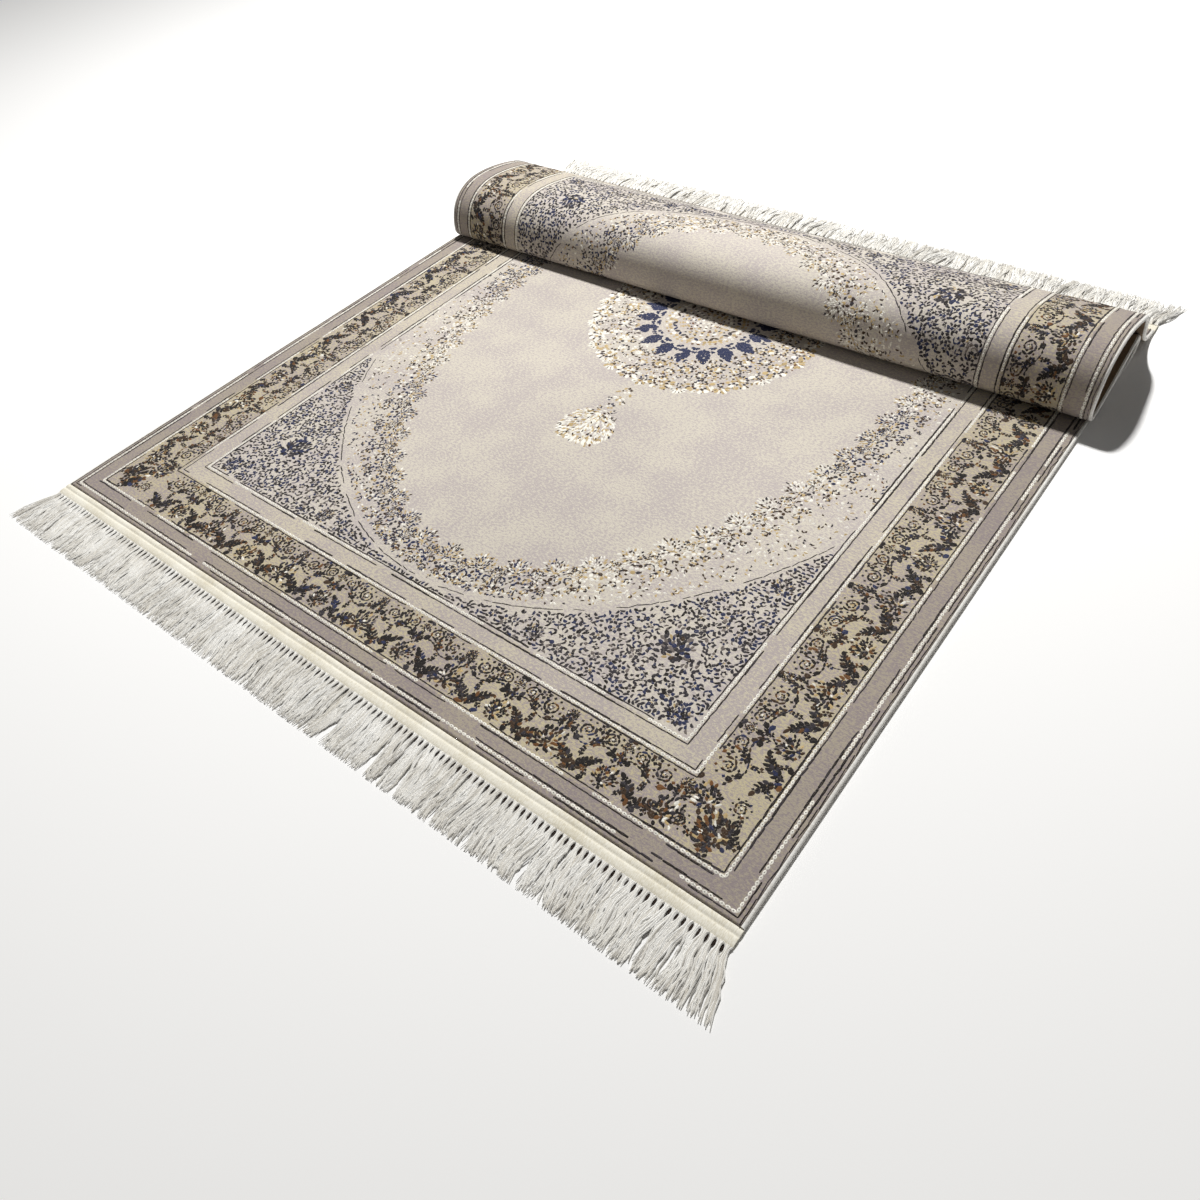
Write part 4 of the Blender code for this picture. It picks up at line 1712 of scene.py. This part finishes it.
# ---------------------------------------------------------------- the cloth
@dataclass
class Carpet:
    """The pile sheet as one closed skin, with its two overcast side edges."""

    fold: Fold
    serging_width: float = 0.005
    clearance: float = 0.0003
    serging_height: float = 0.0084
    fine_step: float = 0.004
    coarse_step: float = 0.0125
    columns: int = 74
    rounding: float = 0.0022
    stitch: float = 0.0030

    def _stations(self) -> Array:
        """Places along the cloth, close together where it turns and at its two ends.

        Returns:
            Them in order, from the near end to the far one.
        """
        at = self.fold.ends()
        turning = [
            (0.0, 0.006, 0.0015),
            (0.006, at["floor_run"], self.coarse_step),
            (at["floor_run"], at["back_fold"] + 0.01, self.fine_step * 0.7),
            (at["back_fold"] + 0.01, at["middle_run"] - 0.05, self.coarse_step),
            (at["middle_run"] - 0.05, at["toe"] - 0.006, self.fine_step),
            (at["toe"] - 0.006, self.fold.length, 0.0015),
        ]
        runs = [np.linspace(a, b, max(2, round((b - a) / s) + 1))[:-1] for a, b, s in turning]
        return np.concatenate([*runs, [self.fold.length]])

    def sheet(self, finish: PileFinish) -> bpy.types.Object:
        """The sheet: each ring goes across the pile to the right and back along the underside.

        Near its edges the pile rounds down by the rest of a circle's height.

        Args:
            finish: the pile's finish.

        Returns:
            The piece.
        """
        half = self.fold.width / 2 - self.serging_width - self.clearance
        edge = self.rounding * np.array([0.0, 0.2, 0.5, 1.0])
        inner = np.linspace(-half + 2 * self.rounding, half - 2 * self.rounding, self.columns)
        x = np.concatenate([-half + edge, inner, (half - edge)[::-1]])
        along = self._stations()
        to_side = np.clip(half - np.abs(x), 0.0, self.rounding)
        to_end = np.clip(np.minimum(along, self.fold.length - along), 0.0, self.rounding)
        full = self.rounding
        drop = [full - np.sqrt(full**2 - (full - near) ** 2) for near in (to_side, to_end)]
        top = self.fold.thickness / 2 - np.maximum(drop[0][None], drop[1][:, None])
        flat_x = np.concatenate([x, x[::-1]])[None].repeat(len(along), axis=0)
        flat_y = along[:, None].repeat(2 * len(x), axis=1)
        lift = np.concatenate([top, np.full_like(top, -self.fold.thickness / 2)], axis=1)
        points = self.fold.place(flat_x, flat_y, lift).reshape(-1, 3)
        faces = outward(points, tube_faces(len(along), 2 * len(x)))
        side = np.concatenate([np.ones_like(top), np.zeros_like(top)], axis=1)
        lay = np.stack([flat_x, flat_y, side], axis=-1).reshape(-1, 3)
        tints = {"lay": lay}
        piece = add_piece("pile_sheet", points, faces, finish.material(), tints, 50.0)
        self._bake_map(piece, lay)
        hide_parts("carpet")
        return piece

    def _bake_map(self, piece: bpy.types.Object, lay: Array) -> None:
        """Lay the pile side over most of a map, and the underside in a strip beside it.

        Args:
            piece: the sheet.
            lay: each corner's place on the flat cloth, and its side.
        """
        mesh = piece.data
        mesh.uv_layers.new(name="OFBake")
        corner = np.empty(len(mesh.loops), np.int32)
        mesh.loops.foreach_get("vertex_index", corner)
        sides = lay[corner, 2].reshape(-1, 4).mean(axis=1).repeat(4)
        u = 0.004 + 0.992 * lay[corner, 1] / self.fold.length
        across = lay[corner, 0] / self.fold.width + 0.5
        v = np.where(sides > 0.9, 0.004 + 0.70 * across, 0.72 + 0.22 * across)
        wall = (sides > 0.1) & (sides < 0.9)
        v = np.where(wall, 0.95 + 0.01 * across + 0.02 * lay[corner, 2], v)
        flat = np.stack([u, v], axis=1).astype(np.float32).ravel()
        mesh.uv_layers["OFBake"].data.foreach_set("uv", flat)

    def serging(self, name: str, side: int, finish: YarnFinish) -> bpy.types.Object:
        """The overcast binding along a side: a six-cornered section that beats with the stitches.

        Args:
            name: which side, left or right.
            side: -1 for left and 1 for right.
            finish: the yarn's finish.

        Returns:
            The piece.
        """
        count = round(self.fold.length / (self.stitch / 2))
        along = np.linspace(0.0, self.fold.length, count + 1)
        beat = np.where(np.arange(count + 1) % 2 == 0, 1.0, 0.84)
        inner, outer = self.fold.width / 2 - self.serging_width, self.fold.width / 2
        chamfer, corner = self.serging_width * 0.38, self.serging_height / 2
        section = [(inner, corner), (outer - chamfer, corner), (outer, corner * 0.35),
                   (outer, -corner * 0.35), (outer - chamfer, -corner), (inner, -corner)]
        middle = (inner + outer) / 2
        ring_points = []
        for x, rise in section:
            across = np.where(x > middle, middle + (x - middle) * beat, x)
            up = np.where(rise > 0, rise * beat, rise)
            ring_points.append(self.fold.place(side * across, along, up))
        points = np.stack(ring_points, axis=1).reshape(-1, 3)
        faces = outward(points, tube_faces(len(along), len(section)))
        own = f"overcast_{name}"
        piece = add_piece(own, points, faces, finish.material(), sharp_above=70.0)
        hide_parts(f"serging_{name}")
        return piece


@dataclass
class EndFinish:
    """The woven tape across one end of the cloth, and the fringe that hangs from it.

    Stations are shares of a strand's length, each with how far the tassel has drawn in there and
    how thick its strands are.
    """

    name: str
    seed: int
    tassels: int = 141
    strands: int = 14
    stations: tuple[float, ...] = (0.0, 0.05, 0.11, 0.22, 0.40, 0.60, 0.80, 1.0)
    pinch: tuple[float, ...] = (0.47, 0.22, 0.20, 0.42, 0.50, 0.54, 0.58, 0.62)
    girth: tuple[float, ...] = (1.2, 1.25, 1.2, 1.1, 1.05, 1.0, 0.9, 0.45)
    white: tuple[int, int, int] = (252, 251, 247)
    grey: tuple[int, int, int] = (196, 188, 172)
    # A painted shade colour for the lowest strands.
    shade: tuple[int, int, int] = (88, 78, 66)
    tassel_length: float = 0.098
    unevenness: float = 0.016
    flare: float = 0.032
    flare_reach: float = 0.075
    wander: float = 0.0045
    sprawl: float = 0.0055
    loft: float = 0.0030
    rib: float = 0.0030

    def __post_init__(self) -> None:
        """Read the end's place from the frame: its tape, and which way its fringe points."""
        low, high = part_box(f"heading_{self.name}")
        self.left, self.right = low[0], high[0]
        self.outwards = -1.0 if self.name == "near" else 1.0
        self.inner_y = high[1] if self.outwards < 0 else low[1]
        self.outer_y = low[1] if self.outwards < 0 else high[1]
        self.pitch = (self.right - self.left) / self.tassels

    def heading(self, finish: YarnFinish) -> bpy.types.Object:
        """The tape: a rolled inner edge, a groove, then a flat that thins, crossed by fine ribs.

        Args:
            finish: the tape's finish.

        Returns:
            The piece.
        """
        across = [0.0, 0.04, 0.13, 0.26, 0.36, 0.42, 0.47, 0.53, 0.60, 0.72, 0.84, 0.93, 1.0]
        height = np.array([4.6, 6.0, 6.7, 6.6, 5.9, 4.9, 4.8, 5.6, 5.8, 5.5, 5.1, 4.5, 3.4]) / 1000
        count = round((self.right - self.left) / (self.rib / 2))
        x = np.linspace(self.left, self.right, count + 1)
        beat = np.where(np.arange(count + 1) % 2 == 0, 1.0, 0.93)
        y = self.inner_y + (self.outer_y - self.inner_y) * np.array(across)
        y = y[None] + 0.0006 * (waves(x, x * 0.0, 0.11, self.seed) - 0.5)[:, None]
        over = np.stack(np.broadcast_arrays(x[:, None], y, beat[:, None] * height[None]), axis=-1)
        under = over[:, ::-1].copy()
        under[..., 2] = 0.0
        points = np.concatenate([over, under], axis=1).reshape(-1, 3)
        faces = outward(points, tube_faces(count + 1, 2 * len(across)))
        name = f"tape_{self.name}"
        piece = add_piece(name, points, faces, finish.material(), sharp_above=60.0)
        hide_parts(f"heading_{self.name}")
        return piece

    def fringe(self, finish: YarnFinish) -> bpy.types.Object:
        """The tassels, each a sheaf of thin strands, with low dark lozenges of painted shade
        between their knots.

        A strand is a three-sided rod, closed at both ends.

        Args:
            finish: the yarn's finish.

        Returns:
            The piece.
        """
        drawn = np.random.default_rng(self.seed)
        rods, lie = self._strands(drawn)
        size = 3 * len(self.stations)
        level, corner = np.meshgrid(np.arange(len(self.stations) - 1), np.arange(3), indexing="ij")
        a, b = level * 3 + corner, level * 3 + (corner + 1) % 3
        halves = ((a, b, b + 3), (a, b + 3, a + 3))
        sides = [np.stack(half, axis=-1).reshape(-1, 3) for half in halves]
        one = np.concatenate([*sides, [[0, 2, 1]], [[size - 3, size - 2, size - 1]]])
        points, faces = stamped(rods, outward(rods[0], one))
        dye = self._tones(drawn, lie).repeat(size, axis=0)
        # The dark lozenges between the knots are painted shade: the yarn's finish turns them dark
        # brown.
        shade_points, shade_faces = self._shade_lozenges()
        dark_dot_and_painted_shade = np.concatenate([np.zeros(len(points)), np.ones(len(shade_points))])
        dye = np.concatenate([dye, np.tile(linear(self.grey), (len(shade_points), 1))])
        faces = np.concatenate([faces, shade_faces + len(points)])
        points = np.concatenate([points, shade_points])
        tints = {"dye": dye, "dark_dot_and_painted_shade": dark_dot_and_painted_shade}
        name = f"tassels_{self.name}"
        piece = add_piece(name, points, faces, finish.material(), tints)
        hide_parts(f"fringe_{self.name}")
        return piece

    def _strands(self, drawn: np.random.Generator) -> tuple[Array, Array]:
        """Where every strand runs.

        A strand leaves the tape, draws in to the knot, then spreads, leans and wavers more and
        more towards its tip, where it narrows. Across, it is the tassel's root, plus a lean that
        grows along it, plus its own seat in the sheaf, plus two sine waves.

        Args:
            drawn: where the draws come from.

        Returns:
            The rods as strands by corners by 3, and how high each strand lies, from 0 to 1.
        """
        shape = (self.tassels, self.strands, 1)
        single = (self.tassels, 1, 1)
        share, pinch, girth = (np.array(v) for v in (self.stations, self.pinch, self.girth))
        root = (self.left + self.pitch * (np.arange(self.tassels) + 0.5))[:, None, None]
        seat = np.linspace(-1.0, 1.0, self.strands)[None, :, None]
        order = drawn.permuted(np.broadcast_to(seat, shape), axis=1)
        # The whole fringe flares at its two ends and drifts slowly from side to side between.
        off = root - (self.left + self.right) / 2
        to_edge = np.clip(((self.right - self.left) / 2 - np.abs(off)) / self.flare_reach, 0.0, 1.0)
        slow = np.sin(19.0 * off + 0.6 + self.seed) + 0.6 * np.sin(41.0 * off + 2.0)
        drift = self.wander * slow * soft_step(to_edge)
        lean = np.sign(off) * self.flare * (1 - to_edge) ** 2 + drift
        own = drawn.normal(0.0, self.sprawl, single) * soft_step(to_edge)
        spread = order * self.pitch * pinch + drawn.normal(0.0, 0.0016, shape) * share
        # Each tassel waves as one, and its strands a little on their own.
        phase = drawn.random(single) * 2.2 + drawn.random(shape) * 2.0 + 9.0 * off
        sway = 0.0030 * np.sin(2.1 * math.pi * share * (0.8 + 0.5 * drawn.random(shape)) + phase)
        sway = sway + 0.0014 * np.sin(5.2 * math.pi * share + drawn.random(shape) * math.tau)
        x = root + (lean + own) * share**1.3 + spread + sway * soft_step(share, 0.08, 0.4)
        reach = self.tassel_length - self.unevenness * drawn.random(shape) ** 1.6
        y = self.outer_y + self.outwards * (0.0002 + reach * share)
        lie = drawn.random(shape)
        hump = 0.4 * drawn.random(shape) + 0.6 * drawn.random(single) ** 2
        rise = np.sin(math.pi * np.clip(share * 1.25, 0, 1))
        z = 0.0026 + 0.0020 * lie - 0.0022 * lie * share + self.loft * rise * hump
        thick = (0.00092 + 0.00045 * drawn.random(shape)) * girth
        x, y, z, thick = np.broadcast_arrays(x, y, z, thick)
        rods = np.stack(
            [
                np.stack([x - thick, y, z - 0.0003], axis=-1),
                np.stack([x, y, z + thick * 0.62], axis=-1),
                np.stack([x + thick, y, z - 0.0003], axis=-1),
            ],
            axis=3,
        )
        return rods.reshape(self.tassels * self.strands, -1, 3), lie

    def _tones(self, drawn: np.random.Generator, lie: Array) -> Array:
        """The yarn of every strand: mostly white, some greyer, and the lowest ones a painted shade
        colour.

        Args:
            drawn: where the draws come from.
            lie: how high each strand lies, from 0 to 1.

        Returns:
            One colour of four for each strand.
        """
        white, grey, shade = (np.array(linear(v)) for v in (self.white, self.grey, self.shade))
        tone = drawn.random((self.tassels, self.strands, 1)) ** 2.6
        tassel_tone = 0.30 * drawn.random((self.tassels, 1, 1)) ** 3
        dye = white + (grey - white) * np.clip(tone * 0.8 + tassel_tone, 0, 1)
        # Strands that lie lowest take the shade colour: painted shade.
        return np.where(lie < 0.09, shade, dye).reshape(-1, 4)

    def _shade_lozenges(self) -> tuple[Array, Array]:
        """Low dark lozenges of painted shade between the knots: a peak over four corners, closed
        underneath.

        Returns:
            All their corners and all their faces.
        """
        x = self.left + self.pitch * np.arange(1, self.tassels)
        size, reach, peak, rise = self.pitch * 0.27, 0.0072, 0.0016, 0.0012
        y = self.outer_y + self.outwards * 0.0068
        round_foot = [(-size, 0, 0), (0, -reach, 0), (size, 0, 0), (0, reach, 0)]
        corner = np.array([*round_foot, (0, 0, peak)])
        middle = np.stack([x, np.full_like(x, y), np.full_like(x, rise)], axis=-1)
        points = corner[None] + middle[:, None]
        faces = np.array([(0, 1, 4), (1, 2, 4), (2, 3, 4), (3, 0, 4), (0, 3, 2), (0, 2, 1)])
        return stamped(points, outward(points[0], faces))


# ---------------------------------------------------------------- the room
@dataclass
class Room:
    """The floor, the lights and the camera."""

    eye: tuple[float, float, float] = (1.0432, -1.2004, 1.1747)
    forward: tuple[float, float, float] = (-0.46726, 0.48658, -0.73818)
    right: tuple[float, float, float] = (0.78569, 0.61139, -0.09433)
    lens: float = 28.55
    floor_half: float = 9.0

    def camera(self) -> None:
        """Stand the camera."""
        data = bpy.data.cameras.new("camera")
        data.lens = self.lens
        data.sensor_width = 36.0
        data.clip_start, data.clip_end = 0.05, 60.0
        camera = bpy.data.objects.new("camera", data)
        bpy.context.scene.collection.objects.link(camera)
        ahead, right = np.array(self.forward), np.array(self.right)
        up = np.cross(right, ahead)
        turned = Matrix(np.stack([right, up, -ahead], axis=1).tolist())
        camera.matrix_world = Matrix.Translation(self.eye) @ turned.to_4x4()
        bpy.context.scene.camera = camera

    def floor(self, finish: FloorFinish) -> None:
        """Lay the floor, a hair under the carpet.

        Args:
            finish: what it is made of.
        """
        h = self.floor_half
        mesh = bpy.data.meshes.new("floor")
        mesh.from_pydata([(-h, -h, 0), (h, -h, 0), (h, h, 0), (-h, h, 0)], [], [(0, 1, 2, 3)])
        mesh.materials.append(finish.material())
        floor = bpy.data.objects.new("floor", mesh)
        floor.location.z = -0.0004
        bpy.context.scene.collection.objects.link(floor)

    def light(self, name: str, place: tuple, aim: tuple, size: float, power: float) -> None:
        """Hang one square soft light.

        Args:
            name: what it is called.
            place: where it hangs.
            aim: the point that it faces.
            size: its side.
            power: in watts.
        """
        data = bpy.data.lights.new(name, "AREA")
        data.shape = "SQUARE"
        data.size = size
        data.energy = power
        lamp = bpy.data.objects.new(name, data)
        bpy.context.scene.collection.objects.link(lamp)
        away = np.array(aim, float) - np.array(place, float)
        side = np.cross(away, (0.0, 1.0, 0.2))
        side /= np.linalg.norm(side)
        back = -away / np.linalg.norm(away)
        turned = Matrix(np.stack([side, np.cross(back, side), back], axis=1).tolist())
        lamp.matrix_world = Matrix.Translation(place) @ turned.to_4x4()

    def sky(self, strength: float) -> None:
        """Fill from all round with an even pale light.

        Args:
            strength: how strong it is.
        """
        world = bpy.data.worlds.new("studio")
        world.use_nodes = True
        back = world.node_tree.nodes["Background"]
        back.inputs["Color"].default_value = (1.0, 1.0, 1.0, 1.0)
        back.inputs["Strength"].default_value = strength
        bpy.context.scene.world = world


def main() -> None:
    """Build the room, then the cloth, its design and its trimmings."""
    logging.basicConfig(level=logging.INFO, format="%(name)s: %(message)s")
    room = Room()
    room.camera()
    room.floor(FloorFinish())
    room.light("key", (-1.25, 2.05, 4.4), (0.0, 0.0, 0.0), 0.36, 322.0)
    room.sky(0.11)
    bpy.context.scene.view_settings.view_transform = "Standard"

    fold = Fold()
    carpet = Carpet(fold)
    sheet = carpet.sheet(PileFinish())
    overcast = YarnFinish("overcast_yarn", (248, 246, 240), (226, 221, 212), (300.0, 300.0, 300.0))
    trims = [carpet.serging("left", -1, overcast), carpet.serging("right", 1, overcast)]
    tape = YarnFinish("tape_cotton", (244, 239, 224), (222, 214, 192), (700.0, 160.0, 200.0))
    cotton = YarnFinish(
        "fringe_cotton", (250, 248, 243), (228, 223, 212), (1200.0, 90.0, 600.0), True, 0.6
    )
    near = EndFinish("near", 3)
    far = EndFinish("far", 8, wander=0.010, sprawl=0.0075, loft=0.0100)
    for end in (near, far):
        trims += [end.heading(tape), end.fringe(cotton)]
    design = Design(fold)
    figures = [
        design.guard_stripes(),
        design.border(),
        design.corners(),
        design.wreath_of_bouquets(),
        design.medallion(),
    ]


if __name__ == "__main__":
    main()
